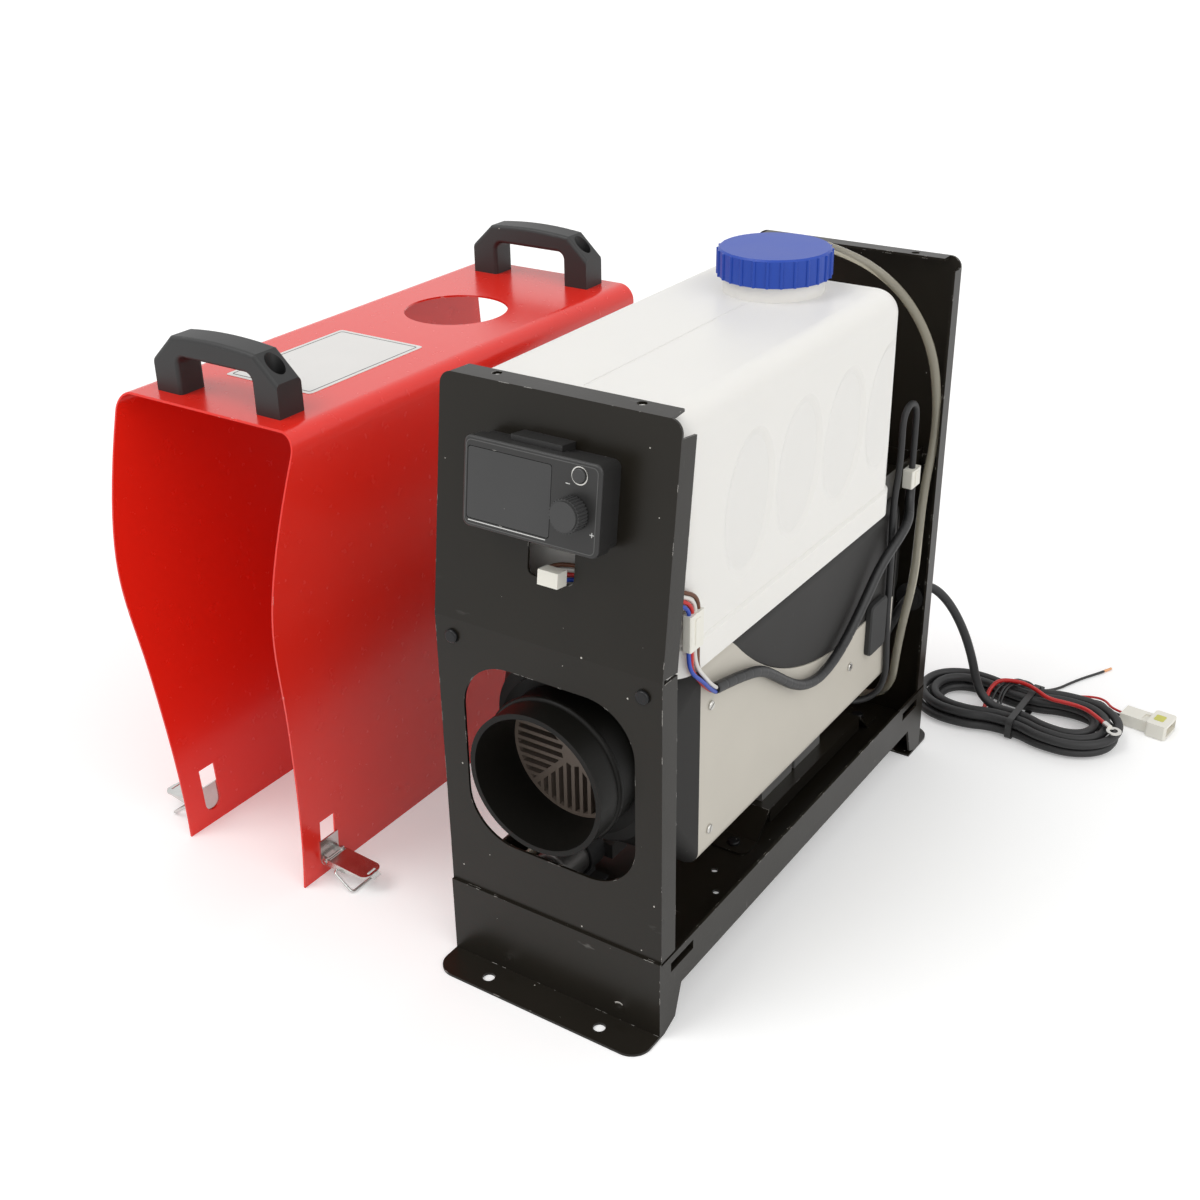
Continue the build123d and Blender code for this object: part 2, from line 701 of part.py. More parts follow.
def mouth_section(inset):
    """Rounded section of either end cap at its mouth."""
    size = CAP_MOUTH - 2 * inset
    return Pos(0, AXIS_Z) * RectangleRounded(size, size, CAP_MOUTH_R - inset)


def split_region(drop):
    """Side view of the space of the upper cover; drop widens it for the parting gap."""
    top = CORE_Z1 + SHEET
    start = (SPLIT_TOP_Y - drop, top)
    middle = (SPLIT_MID[0] - drop, SPLIT_MID[1] - drop)
    low = (SPLIT_LOW[0], SPLIT_LOW[1] - drop)
    end = CORE_Y1 + SHEET
    edges = [ThreePointArc(start, middle, low), Polyline(low, (end, low[1]), (end, top), start)]
    region = make_face(edges)
    return along_x(region, -CORE_W, CORE_W)


def core_lower_shell():
    """Light casing: a whole sleeve at the front, swept down to half height at the back."""
    shell = along_y(core_section(0) - core_section(CORE_WALL), CORE_Y0, CORE_Y1)
    shell -= split_region(FIT)
    half = NECK_W / 2 + NECK_GAP
    hole_y = (EXCH_FOOT_Y0 + NECK_STEP - NECK_GAP, BLOWER_Y1 - NECK_STEP + NECK_GAP)
    return shell - slab((-half, half), hole_y, (CORE_Z0 - SHEET, CORE_Z0 + 2 * CORE_WALL))


def core_upper_cover():
    """Dark cover that closes the casing from the swept edge upward."""
    shell = core_section(COVER_STEP) - core_section(CORE_WALL)
    return along_y(shell, CORE_Y0, CORE_Y1) & split_region(0)


def end_cap(y_shell, y_mouth, mouth_hole_r):
    """Tapering cap from the casing's section to a rounded mouth, closed by a holed wall."""
    outside = [Plane.XZ.offset(-y_shell) * core_section(0), Plane.XZ.offset(-y_mouth) * mouth_section(0)]
    inside = [
        Plane.XZ.offset(-y_shell) * core_section(CAP_WALL),
        Plane.XZ.offset(-y_mouth) * mouth_section(CAP_WALL),
    ]
    cap = loft(outside) - loft(inside)
    out = math.copysign(CAP_WALL, y_mouth - y_shell)
    wall = mouth_section(0) - Pos(0, AXIS_Z) * Circle(mouth_hole_r)
    low, high = sorted((y_mouth, y_mouth + out))
    return cap + along_y(wall, low, high)


def outlet_cap():
    """Dark end cap around the warm-air outlet."""
    return end_cap(CORE_Y0, OUTLET_Y, DUCT_BORE_R + FIT)


def intake_cap():
    """End cap around the air intake, with its guard of rings and spokes."""
    cap = end_cap(CORE_Y1, INTAKE_Y, INTAKE_R)
    guard = Circle(GUARD_WIRE * 2)
    for ring in range(1, GUARD_RINGS + 1):
        radius = INTAKE_R * ring / (GUARD_RINGS + 1)
        guard += Circle(radius + GUARD_WIRE / 2) - Circle(radius - GUARD_WIRE / 2)
    for angle in (45, 135):
        guard += Rot(0, 0, angle) * Rectangle(2 * INTAKE_R + GUARD_WIRE, GUARD_WIRE)
    return cap + on_axis(guard, INTAKE_Y, INTAKE_Y + CAP_WALL)


def duct_collar():
    """Spigot for the warm-air hose, with its stop bead and fixing flange."""
    back = OUTLET_Y - CAP_WALL
    tube_wall = Polyline(
        (back, DUCT_BORE_R),
        (back, DUCT_FLANGE_R),
        (back - DUCT_FLANGE_T, DUCT_FLANGE_R),
        (back - DUCT_FLANGE_T, DUCT_R),
        (DUCT_RIM_Y, DUCT_R),
        (DUCT_RIM_Y, DUCT_BORE_R),
        close=True,
    )
    bead_rise = DUCT_BEAD_R - DUCT_R
    half = make_face(tube_wall) + Pos(DUCT_BEAD_Y, DUCT_R - bead_rise * 0.2) * Circle(bead_rise * 1.2)
    half = Plane(origin=(0, 0, AXIS_Z), x_dir=(0, 1, 0), z_dir=(1, 0, 0)) * half
    return revolve(half, axis=Axis((0, 0, AXIS_Z), (0, 1, 0)))


def outlet_grille():
    """Guard in the outlet: a hub, four diagonal ribs and slats that turn with each quarter."""
    outer = DUCT_BORE_R - FIT
    rim = DUCT_BORE_R - 2.5
    slats = Sketch()
    count = int(rim // GRILLE_PITCH)
    for step in range(-count, count + 1):
        slats += Pos(step * GRILLE_PITCH, 0) * Rectangle(GRILLE_SLAT, 2 * rim)
    quarter = outline((0, 0), (-outer, outer), (outer, outer))
    quarter += outline((0, 0), (outer, -outer), (-outer, -outer))
    slats = (slats & quarter) & Circle(rim + GRILLE_SLAT / 4)
    grille = slats + Rot(0, 0, 90) * slats
    for angle in (45, 135):
        grille += Rot(0, 0, angle) * Rectangle(2 * rim + GRILLE_SLAT / 2, GRILLE_RIB)
    grille += Circle(GRILLE_HUB_R) + (Circle(outer) - Circle(rim))
    front = OUTLET_Y - CAP_WALL - DUCT_FLANGE_T
    return on_axis(grille, front, front + GRILLE_T)


# ================================================================== inside the core
def foot_block(y0, y1, neck_y0, neck_y1):
    """Cast foot on the bracket, whose shoulder carries the casing, and its neck."""
    foot = slab((-FOOT_W / 2, FOOT_W / 2), (y0, y1), (BRACKET_TOP, CORE_Z0))
    neck = slab((-NECK_W / 2, NECK_W / 2), (neck_y0, neck_y1), (CORE_Z0, AXIS_Z - EXCH_R * 0.8))
    return foot + neck


def heat_exchanger():
    """Finned casting with the burner bore, its foot, the exhaust pipe and the plug boss."""
    ring = Circle(EXCH_R)
    fins = Sketch()
    reach = EXCH_FIN_R - EXCH_R * 0.9
    for step in range(EXCH_FINS):
        angle = 360 / EXCH_FINS * (step + 0.5)
        fins += Rot(0, 0, angle) * (Pos(EXCH_R * 0.9 + reach / 2, 0) * Rectangle(reach, FIN_T))
    body = on_axis(ring, EXCH_Y0, EXCH_Y1)
    body = fillet(body.edges().sort_by(Axis.Y)[0], EXCH_R / 3)
    body += on_axis(fins + Circle(EXCH_R - 1), EXCH_Y0 + EXCH_FIN_END, EXCH_Y1 - EXCH_FIN_END)
    body += foot_block(EXCH_FOOT_Y0, EXCH_Y1, EXCH_FOOT_Y0 + NECK_STEP, EXCH_Y1)
    body += rod((0, EXHAUST_Y, PIPE_END_Z), (0, EXHAUST_Y, BRACKET_TOP + SHEET), EXHAUST_R)
    body += rod((0, PLUG_Y, AXIS_Z + EXCH_R / 2), (0, PLUG_Y, AXIS_Z + EXCH_FIN_R), PLUG_BOSS_R)
    body += rod((FEED_X, EXCH_FOOT_Y0 - STUB_L, FEED_Z), (FEED_X, EXCH_FOOT_Y0 + 1, FEED_Z), STUB_R)
    body -= on_axis(Circle(EXCH_BORE_R), EXCH_Y0 + EXCH_R / 3, EXCH_Y1 + 1)
    top = (0, EXHAUST_Y, AXIS_Z - EXCH_R / 2)
    body -= rod((0, EXHAUST_Y, PIPE_END_Z - 1), top, EXHAUST_R - PIPE_WALL)
    plug_top = (0, PLUG_Y, PLUG_TOP_Z)
    return body - rod((0, PLUG_Y, AXIS_Z + BURNER_R / 2), plug_top, PLUG_R + FIT)


def burner():
    """Flanged burner tube with rows of air holes."""
    tube_y0 = EXCH_Y0 + EXCH_R
    body = on_axis(Circle(BURNER_R), tube_y0, EXCH_Y1)
    body += on_axis(Circle(BURNER_FLANGE_R), EXCH_Y1, BLOWER_Y0)
    body -= on_axis(Circle(BURNER_R - PIPE_WALL), tube_y0 - 1, BLOWER_Y0 - BURNER_FLANGE_T / 2)
    body -= on_axis(Circle(BLOWER_EYE_R / 2), EXCH_Y1, BLOWER_Y0 + 1)
    holes = []
    for row in range(3):
        y = EXCH_Y1 - BLOWER_EYE_R * (row + 3)
        for step in range(3):
            across = Vector(BURNER_R + 1, 0, 0).rotate(Axis.Y, 60 * step + 30)
            centre = Vector(0, y, AXIS_Z)
            holes.append(rod(centre - across, centre + across, PIPE_WALL))
    body -= holes
    return body - rod((0, PLUG_Y, AXIS_Z), (0, PLUG_Y, PLUG_TOP_Z), PLUG_R + FIT)


def glow_plug():
    """Glow plug, screwed into the boss on top of the heat exchanger."""
    base = AXIS_Z + BURNER_R + FIT
    plug = rod((0, PLUG_Y, base), (0, PLUG_Y, AXIS_Z + EXCH_FIN_R), PLUG_R)
    plug += rod((0, PLUG_Y, base - PLUG_R), (0, PLUG_Y, base), PLUG_TIP_R)
    hexagon = Pos(0, PLUG_Y) * RegularPolygon(PLUG_BOSS_R - 1, 6)
    plug += along_z(hexagon, AXIS_Z + EXCH_FIN_R, AXIS_Z + EXCH_FIN_R + PLUG_R * 0.8)
    return plug


def blower_housing():
    """Cast housing of the combustion-air wheel, with its foot, air pipe and board pad."""
    body = on_axis(Circle(BLOWER_R), BLOWER_Y0, BLOWER_Y1)
    body += foot_block(BLOWER_Y0, BLOWER_Y1, BLOWER_Y0, BLOWER_Y1 - NECK_STEP)
    pad_y = (BLOWER_Y0 + BLOWER_WALL, BLOWER_Y1 - BLOWER_WALL)
    pad_x = (-BOARD_PAD_W / 2, BOARD_PAD_W / 2)
    body += slab(pad_x, pad_y, (AXIS_Z + BLOWER_R / 2, BOARD_Z))
    body += rod((0, AIR_PIPE_Y, PIPE_END_Z), (0, AIR_PIPE_Y, BRACKET_TOP + SHEET), AIR_PIPE_R)
    body -= on_axis(Circle(BLOWER_CHAMBER_R), BLOWER_Y0 + BLOWER_WALL, CHAMBER_Y1)
    body -= on_axis(Circle(BLOWER_EYE_R), BLOWER_Y0 - 1, BLOWER_Y0 + BLOWER_WALL + 1)
    body -= on_axis(Circle(SHAFT_R + SHAFT_FIT), BLOWER_Y0, BLOWER_Y1 + 1)
    top = (0, AIR_PIPE_Y, AXIS_Z - BLOWER_CHAMBER_R * 0.9)
    return body - rod((0, AIR_PIPE_Y, PIPE_END_Z - 1), top, AIR_PIPE_R - PIPE_WALL)


def blower_motor():
    """Motor can on the back of the blower housing, with the shaft running through it."""
    can = on_axis(Circle(MOTOR_R), BLOWER_Y1, MOTOR_Y1)
    can = fillet(can.edges().sort_by(Axis.Y)[-1], PIPE_WALL * 2)
    return can - on_axis(Circle(SHAFT_R + SHAFT_FIT), BLOWER_Y1 - 1, MOTOR_Y1 + 1)


def motor_shaft():
    """Shaft that carries the combustion-air wheel and the heating-air fan."""
    start = (0, IMPELLER_Y0 - SHAFT_PROUD, AXIS_Z)
    end = (0, FAN_Y0 + FAN_L + SHAFT_PROUD, AXIS_Z)
    shaft = rod(start, end, SHAFT_R)
    return chamfer(shaft.edges().filter_by(GeomType.CIRCLE), SHAFT_R / 6)


def burner_impeller():
    """Combustion-air wheel: a disc with straight vanes."""
    wheel = Circle(IMPELLER_R)
    vanes = Circle(IMPELLER_BOSS_R)
    reach = IMPELLER_R - IMPELLER_BOSS_R / 2
    for step in range(IMPELLER_VANES):
        vane = Pos(IMPELLER_BOSS_R / 2 + reach / 2 - 1, 0) * Rectangle(reach, IMPELLER_VANE_T)
        vanes += Rot(0, 0, 360 / IMPELLER_VANES * step) * vane
    body = on_axis(wheel, IMPELLER_Y1 - IMPELLER_DISC_T, IMPELLER_Y1)
    body += on_axis(vanes, IMPELLER_Y0, IMPELLER_Y1)
    return body - on_axis(Circle(SHAFT_R + SHAFT_SEAT), IMPELLER_Y0 - 1, IMPELLER_Y1 + 1)


def fan_blade():
    """One twisted blade of the heating-air fan, steeper at the root than at the tip."""
    sections = []
    chord = FAN_L / math.sin(math.radians(FAN_ROOT_PITCH))
    for radius, pitch in ((FAN_HUB_R - 2, FAN_ROOT_PITCH), (FAN_R + 2, FAN_TIP_PITCH)):
        plane = Plane(origin=(0, FAN_Y0 + FAN_L / 2, AXIS_Z + radius), x_dir=(1, 0, 0), z_dir=(0, 0, 1))
        sections.append(plane * (Rot(0, 0, pitch) * Rectangle(chord, FAN_BLADE_T)))
    return loft(sections, ruled=True)


def air_impeller():
    """Heating-air fan: a cup hub with twisted blades, trimmed to its running circle."""
    blade = fan_blade()
    axis = Axis((0, 0, AXIS_Z), (0, 1, 0))
    blades = [blade.rotate(axis, 360 / FAN_BLADES * step) for step in range(FAN_BLADES)]
    trim = on_axis(Circle(FAN_R) - Circle(FAN_HUB_R - 1), FAN_Y0, FAN_Y0 + FAN_L)
    hub = on_axis(Circle(FAN_HUB_R), FAN_Y0, FAN_Y0 + FAN_L)
    hub = fillet(hub.edges().sort_by(Axis.Y)[-1], FAN_HUB_WALL)
    hub -= on_axis(Circle(FAN_HUB_R - FAN_HUB_WALL), FAN_Y0 - 1, FAN_Y0 + FAN_L - FAN_HUB_WALL)
    hub += on_axis(Circle(SHAFT_R * 2), FAN_Y0, FAN_Y0 + FAN_L)
    for part in blades:
        hub += part & trim
    return hub - on_axis(Circle(SHAFT_R + SHAFT_SEAT), FAN_Y0 - 1, FAN_Y0 + FAN_L + 1)


def control_board():
    """Circuit board on the blower housing's pad, with its connectors and relay."""
    y0 = BLOWER_Y0 + BLOWER_WALL
    board = slab((-BOARD_W / 2, BOARD_W / 2), (y0, y0 + BOARD_L), (BOARD_Z, BOARD_Z + BOARD_T))
    top = BOARD_Z + BOARD_T
    third = BOARD_W / 6
    board += slab((-third, third), (y0 + 4, y0 + 14), (top, top + 8))
    board += slab((-2.4 * third, -1.2 * third), (y0 + 18, y0 + 34), (top, top + 7))
    return board + slab((0.8 * third, 2.2 * third), (y0 + 24, y0 + 38), (top, top + 2))


# ================================================================== tank and fuel line
def rounded_box(inset, top_r):
    """Tank body moved in from its outside, with round corners and a rounded top."""
    half = TANK_W / 2 - inset
    length = TANK_Y1 - TANK_Y0 - 2 * inset
    corner = TANK_CORNER_R - inset
    flat = Pos(0, (TANK_Y0 + TANK_Y1) / 2) * RectangleRounded(2 * half, length, corner)
    body = along_z(flat, TANK_Z0 + inset, TANK_TOP - inset)
    return fillet(body.faces().sort_by(Axis.Z)[-1].edges(), top_r - inset)


def tank_dishes():
    """Slanting oval dishes sunk into one side of the tank."""
    side = TANK_W / 2
    dishes = []
    for step in range(DISH_COUNT):
        place = Pos(DISH_Y + step * DISH_PITCH, DISH_Z) * Rot(0, 0, DISH_TILT)
        rim = place * Ellipse(DISH_HALF_W, DISH_HALF_H)
        floor = place * Ellipse(DISH_HALF_W - DISH_SLOPE, DISH_HALF_H - DISH_SLOPE)
        sections = [Plane.YZ.offset(side) * rim, Plane.YZ.offset(side - DISH_DEPTH) * floor]
        dishes.append(loft(sections))
    return dishes


def fuel_tank():
    """Hollow moulded tank with a foot band, sunk dishes, a neck and the pickup hole."""
    tank = rounded_box(0, TANK_R)
    band_w = TANK_W + 2 * TANK_BAND
    band_l = TANK_Y1 - TANK_Y0 + 2 * TANK_BAND
    band = Pos(0, (TANK_Y0 + TANK_Y1) / 2) * RectangleRounded(band_w, band_l, TANK_CORNER_R + TANK_BAND)
    band = along_z(band, TANK_Z0, TANK_Z0 + TANK_BAND_H)
    tank += chamfer(band.faces().sort_by(Axis.Z)[-1].edges(), TANK_BAND * 0.9)
    for dish in tank_dishes():
        tank -= dish
        tank -= mirror(dish, about=Plane.YZ)
    tank += along_z(Pos(0, NECK_Y) * Circle(NECK_R), TANK_TOP - TANK_WALL, NECK_TOP)
    tank -= rounded_box(TANK_WALL, TANK_R)
    tank -= along_z(Pos(0, NECK_Y) * Circle(NECK_BORE_R), TANK_TOP - 2 * TANK_WALL, NECK_TOP + 1)
    hole = Pos(PICKUP_X, PICKUP_Y) * Circle(PICKUP_TUBE_R + FIT)
    return tank - along_z(hole, TANK_TOP - 2 * TANK_WALL, TANK_TOP + 1)


def fuel_cap():
    """Ribbed screw cap over the filler neck."""
    top = Circle(CAP_R)
    for step in range(CAP_RIBS):
        angle = math.radians(360 / CAP_RIBS * step)
        top += Pos(CAP_R * math.cos(angle), CAP_R * math.sin(angle)) * Circle(CAP_RIB_R)
    cap = along_z(Pos(0, NECK_Y) * top, CAP_Z0, CAP_TOP - CAP_RIB_R)
    lid = along_z(Pos(0, NECK_Y) * Circle(CAP_R), CAP_Z0 + 1, CAP_TOP)
    cap += chamfer(lid.edges().sort_by(Axis.Z)[-1], CAP_RIB_R)
    return cap - along_z(Pos(0, NECK_Y) * Circle(CAP_BORE_R), CAP_Z0 - 1, CAP_TOP - CAP_TOP_T)


def cap_liner():
    """Sealing disc between the neck and the cap."""
    low = NECK_TOP + FIT
    return along_z(Pos(0, NECK_Y) * Circle(CAP_BORE_R - FIT), low, low + LINER_T)


def barb(start, end):
    """Hose stub with one barb near its free end."""
    start = Vector(*start)
    end = Vector(*end)
    along = (end - start).normalized()
    stub = rod(start, end, STUB_R - 1)
    return stub + rod(end - along * 3, end - along * 1.5, STUB_R)


def fuel_pickup():
    """Elbow on the tank top, with its pickup tube reaching down into the tank."""
    at = (PICKUP_X, PICKUP_Y)
    base = along_z(Pos(*at) * RegularPolygon(PICKUP_R, 6), TANK_TOP, TANK_TOP + PIPE_WALL * 2)
    high = TANK_TOP + PICKUP_UP
    body = base + rod((*at, TANK_TOP), (*at, high + STUB_R - 1), STUB_R)
    body += rod((*at, TANK_Z0 + 3 * TANK_WALL), (*at, TANK_TOP + 1), PICKUP_TUBE_R)
    return body + barb((PICKUP_X, PICKUP_Y, high), (PICKUP_X, PICKUP_Y + STUB_R + BARB_L, high))


def fuel_hose():
    """Fuel line in three lengths: tank to filter, filter to pump, pump to burner."""
    pickup_y = PICKUP_Y + STUB_R + BARB_L
    pickup_z = TANK_TOP + PICKUP_UP
    filter_rear = FILTER_Y1 + STUB_L
    filter_front = FILTER_Y0 - STUB_L
    pump_front = PUMP_Y0 - STUB_L
    pump_rear = PUMP_Y1 + STUB_L
    supply = [
        (PICKUP_X, pickup_y, pickup_z),
        (PICKUP_X, pickup_y + 13, pickup_z),
        (-27, 117, 361),
        (-10, 120, 362),
        (11, 118, 360.5),
        (34, 127, 350),
        (50, 144, 328),
        (62, 157, 297),
        (65.2, 165, 262),
        (65, 167, 233),
        (63, 162, 205),
        (62.5, 160, 179),
        (64, 155, 140),
        (60, 150, 106),
        (57, 151, 80),
        (54, 155, 57),
        (42, 160, 41),
        (20, 162, 36),
        (-12, 162.5, 37),
        (-40, 160, 38),
        (-55, 146, 37),
        (-57.5, 120, 36),
        (-57.2, 85, 34.5),
        (FILTER_X, 55, FILTER_Z),
        (FILTER_X, filter_rear, FILTER_Z),
    ]
    to_pump = [
        (FILTER_X, filter_front, FILTER_Z),
        (FILTER_X, filter_front - 22, FILTER_Z),
        (FILTER_X + 0.4, -78, 35),
        (FILTER_X, -116, 38),
        (FILTER_X + 0.6, -136, 40.2),
        (FILTER_X, -154.6, 42.5),
        (-49.1, -162.5, PUMP_Z - 1),
        (-37.9, -162.5, PUMP_Z),
        (PUMP_X, -154.6, PUMP_Z),
        (PUMP_X, pump_front, PUMP_Z),
    ]
    to_burner = [
        (PUMP_X, pump_rear, PUMP_Z),
        (PUMP_X, pump_rear + 10, PUMP_Z),
        (PUMP_X + 2, pump_rear + 24, 50),
        (FEED_X - 1, pump_rear + 38, 57),
        (FEED_X, EXCH_FOOT_Y0 - STUB_L - 9, FEED_Z),
        (FEED_X, EXCH_FOOT_Y0 - STUB_L, FEED_Z),
    ]
    lines = {"supply hose": supply, "pump hose": to_pump, "burner hose": to_burner}
    return Compound([tube(name, points, HOSE_R).solid() for name, points in lines.items()])


def fuel_pump():
    """Metering pump: a stepped can with a stub at each end and its plug socket."""
    body = rod((PUMP_X, PUMP_Y0, PUMP_Z), (PUMP_X, PUMP_Y1, PUMP_Z), PUMP_R)
    body = fillet(body.edges().filter_by(GeomType.CIRCLE), PUMP_R / 5)
    body += barb((PUMP_X, PUMP_Y0 + 1, PUMP_Z), (PUMP_X, PUMP_Y0 - STUB_L, PUMP_Z))
    body += barb((PUMP_X, PUMP_Y1 - 1, PUMP_Z), (PUMP_X, PUMP_Y1 + STUB_L, PUMP_Z))
    side = (PUMP_X + PUMP_R - 2, PUMP_X + PUMP_R + 7)
    return body + slab(side, (PUMP_Y1 - 22, PUMP_Y1 - 6), (PUMP_Z - 5, PUMP_Z + 5))


def pump_clip():
    """Rubber-lined band round the pump, on a leg that stands on the tray."""
    middle = (PUMP_Y0 + PUMP_Y1) / 2
    y0 = middle - PUMP_CLIP_L / 2
    y1 = middle + PUMP_CLIP_L / 2
    outer = PUMP_R + PUMP_CLIP_T
    band = Pos(PUMP_X, PUMP_Z) * Circle(outer)
    leg_h = PUMP_Z - FLOOR_TOP
    band += Pos(PUMP_X, FLOOR_TOP + leg_h / 2) * Rectangle(outer, leg_h)
    band += Pos(PUMP_X, FLOOR_TOP + PUMP_CLIP_T / 2) * Rectangle(3 * outer - 10, PUMP_CLIP_T)
    return along_y(band - Pos(PUMP_X, PUMP_Z) * Circle(PUMP_R), y0, y1)


def fuel_filter():
    """Inline filter: a clear can with tapering ends and a stub at each end."""
    body = rod((FILTER_X, FILTER_Y0, FILTER_Z), (FILTER_X, FILTER_Y1, FILTER_Z), FILTER_R)
    body = chamfer(body.edges().filter_by(GeomType.CIRCLE), FILTER_R / 3)
    body += barb((FILTER_X, FILTER_Y0 + 1, FILTER_Z), (FILTER_X, FILTER_Y0 - STUB_L, FILTER_Z))
    return body + barb((FILTER_X, FILTER_Y1 - 1, FILTER_Z), (FILTER_X, FILTER_Y1 + STUB_L, FILTER_Z))


# ================================================================== controller
def panel_prism(sketch, low, high):
    """Prism standing on the leaning panel, from one height above it to another."""
    return extrude(upper_plane(low) * (Pos(0, CTRL_UP) * sketch), amount=high - low)


def controller_cradle():
    """Holder on the panel, with the spring clip over the controller's top edge."""
    base = RectangleRounded(CTRL_W - 2, CTRL_H - 2, CASE_R)
    clip_low = CTRL_H / 2 - 1
    clip = Pos(CLIP_X, clip_low + CLIP_H / 2) * Rectangle(CLIP_W, CLIP_H)
    cradle = panel_prism(base, 0, CRADLE_DEPTH)
    return cradle + panel_prism(clip, 0, CRADLE_DEPTH + CASE_DEPTH / 3)


def controller_case():
    """Controller body with pockets for the screen, the knob's shaft and the button."""
    case = panel_prism(RectangleRounded(CTRL_W, CTRL_H, CASE_R), CRADLE_DEPTH, CASE_FRONT)
    outward = Axis((0, 0, 0), tuple(upper_plane().z_dir))
    case = fillet(case.faces().sort_by(outward)[-1].edges(), CASE_R / 2.5)
    notch = Pos(CLIP_X, CTRL_H / 2) * Rectangle(CLIP_W + 2 * FIT, 2 * (1 + FIT))
    case -= panel_prism(notch, CRADLE_DEPTH - 1, CRADLE_DEPTH + CASE_DEPTH / 3 + FIT)
    screen = RectangleRounded(SCREEN_W + 2 * FIT, SCREEN_H + 2 * FIT, PIPE_WALL)
    case -= panel_prism(Pos(SCREEN_X, SCREEN_UP) * screen, CASE_FRONT - SCREEN_T - FIT, CASE_FRONT + 1)
    knob_hole = Pos(KNOB_X, KNOB_UP) * Circle(KNOB_SHAFT_R + FIT)
    case -= panel_prism(knob_hole, CRADLE_DEPTH + FIT, CASE_FRONT + 1)
    button_hole = Pos(BUTTON_X, BUTTON_UP) * Circle(BUTTON_R + FIT)
    depth = BUTTON_STEM + BUTTON_TRAVEL + FIT
    return case - panel_prism(button_hole, CASE_FRONT - depth, CASE_FRONT + 1)


def controller_screen():
    """Display window, set flush into the case."""
    window = RectangleRounded(SCREEN_W, SCREEN_H, PIPE_WALL)
    return panel_prism(Pos(SCREEN_X, SCREEN_UP) * window, CASE_FRONT - SCREEN_T, CASE_FRONT)


def controller_knob():
    """Fluted turning knob with its shaft in the case."""
    place = Pos(KNOB_X, KNOB_UP)
    grip = Circle(KNOB_R)
    for step in range(KNOB_RIBS):
        angle = math.radians(360 / KNOB_RIBS * step)
        grip -= Pos(KNOB_R * math.cos(angle), KNOB_R * math.sin(angle)) * Circle(KNOB_RIB_R)
    knob = panel_prism(place * grip, CASE_FRONT + FIT, CASE_FRONT + KNOB_H - 1)
    knob += panel_prism(place * Circle(KNOB_R - 1.2), CASE_FRONT + FIT, CASE_FRONT + KNOB_H)
    return knob + panel_prism(place * Circle(KNOB_SHAFT_R), CRADLE_DEPTH + 2 * FIT, CASE_FRONT + 1)


def controller_button():
    """Round push button in its hole."""
    shape = Pos(BUTTON_X, BUTTON_UP) * Circle(BUTTON_R)
    button = panel_prism(shape, CASE_FRONT - BUTTON_STEM, CASE_FRONT + BUTTON_PROUD)
    outward = Axis((0, 0, 0), tuple(upper_plane().z_dir))
    return fillet(button.edges().sort_by(outward)[-1], BUTTON_PROUD / 3)


# ================================================================== leads that the heater holds
def plug_block(at, size, ridge):
    """Small wire connector: a block with a latch ridge on its outer face."""
    width, depth, height = size
    block = Box(width, depth, height)
    block = chamfer(block.edges().filter_by(Axis.Z), 0.6)
    block += Pos(width / 2, 0, 0) * Box(ridge * 2, depth / 3, height * 0.7)
    return (Pos(*at) * block).solid()


def loom_connectors():
    """The three white connectors: below the controller, beside the tank and behind it."""
    panel = Pos(PANEL_PLUG_X, PANEL_PLUG_UP) * Rectangle(PANEL_PLUG[0], PANEL_PLUG[1])
    panel = extrude(upper_plane(FIT) * panel, amount=PANEL_PLUG[2])
    side = plug_block((SIDE_PLUG_X, SIDE_PLUG_Y, SIDE_PLUG_Z), SIDE_PLUG, 0.5)
    rear = plug_block((REAR_PLUG_X, REAR_PLUG_Y, REAR_PLUG_Z), REAR_PLUG, 0.5)
    return Compound([panel.solid(), side, rear])


def loom_wires():
    """Coloured wires from the side connector down to the harness and up to the controller."""
    low = SIDE_PLUG_Z - SIDE_PLUG[2] / 2
    high = SIDE_PLUG_Z + SIDE_PLUG[2] / 2
    wires = []
    for step, spread in enumerate((-4.5, -1.5, 1.5, 4.5)):
        y = SIDE_PLUG_Y + spread
        across = 1.25 - 2.5 * (step % 2)
        above = 2.5 * (step // 2) - 1.25
        down = [
            (67.6, y, low),
            (67.6, y, low - 6),
            (68.1 + 0.8 * across, y + 1, low - 13),
            (68 + across, -131.8 + 0.63 * above, 204.5 + 0.78 * above),
            (66 + across, -121 + 0.5 * above, 194 + 0.86 * above),
            (64.5 + across, -113.4 + 0.21 * above, 188.4 + 0.98 * above),
        ]
        pin = upper_plane(FIT).location * Pos(9.9 - 2.6 * step, PANEL_PLUG_UP - 2.3 + 1.9 * step, 0)
        behind = pin * Pos(0, 0, -5)
        up = [
            (67.5, y, high),
            (67.5, y, high + 4 + step),
            (64, -152 + spread * 0.9, high + 10 + step),
            (52, -157.5 + spread * 0.4, high + 11.5 + 2.5 * step),
            (30, -159.5 + spread * 0.3, high + 12 + 2.5 * step),
            (19 - 2.6 * step, -161.3, high + 12.3 + 2.4 * step),
            tuple(behind.position),
            tuple(pin.position),
        ]
        wires.append(tube(f"loom wire {step} down", down, WIRE_R).solid())
        wires.append(tube(f"loom wire {step} up", up, WIRE_R).solid())
    return Compound(wires)


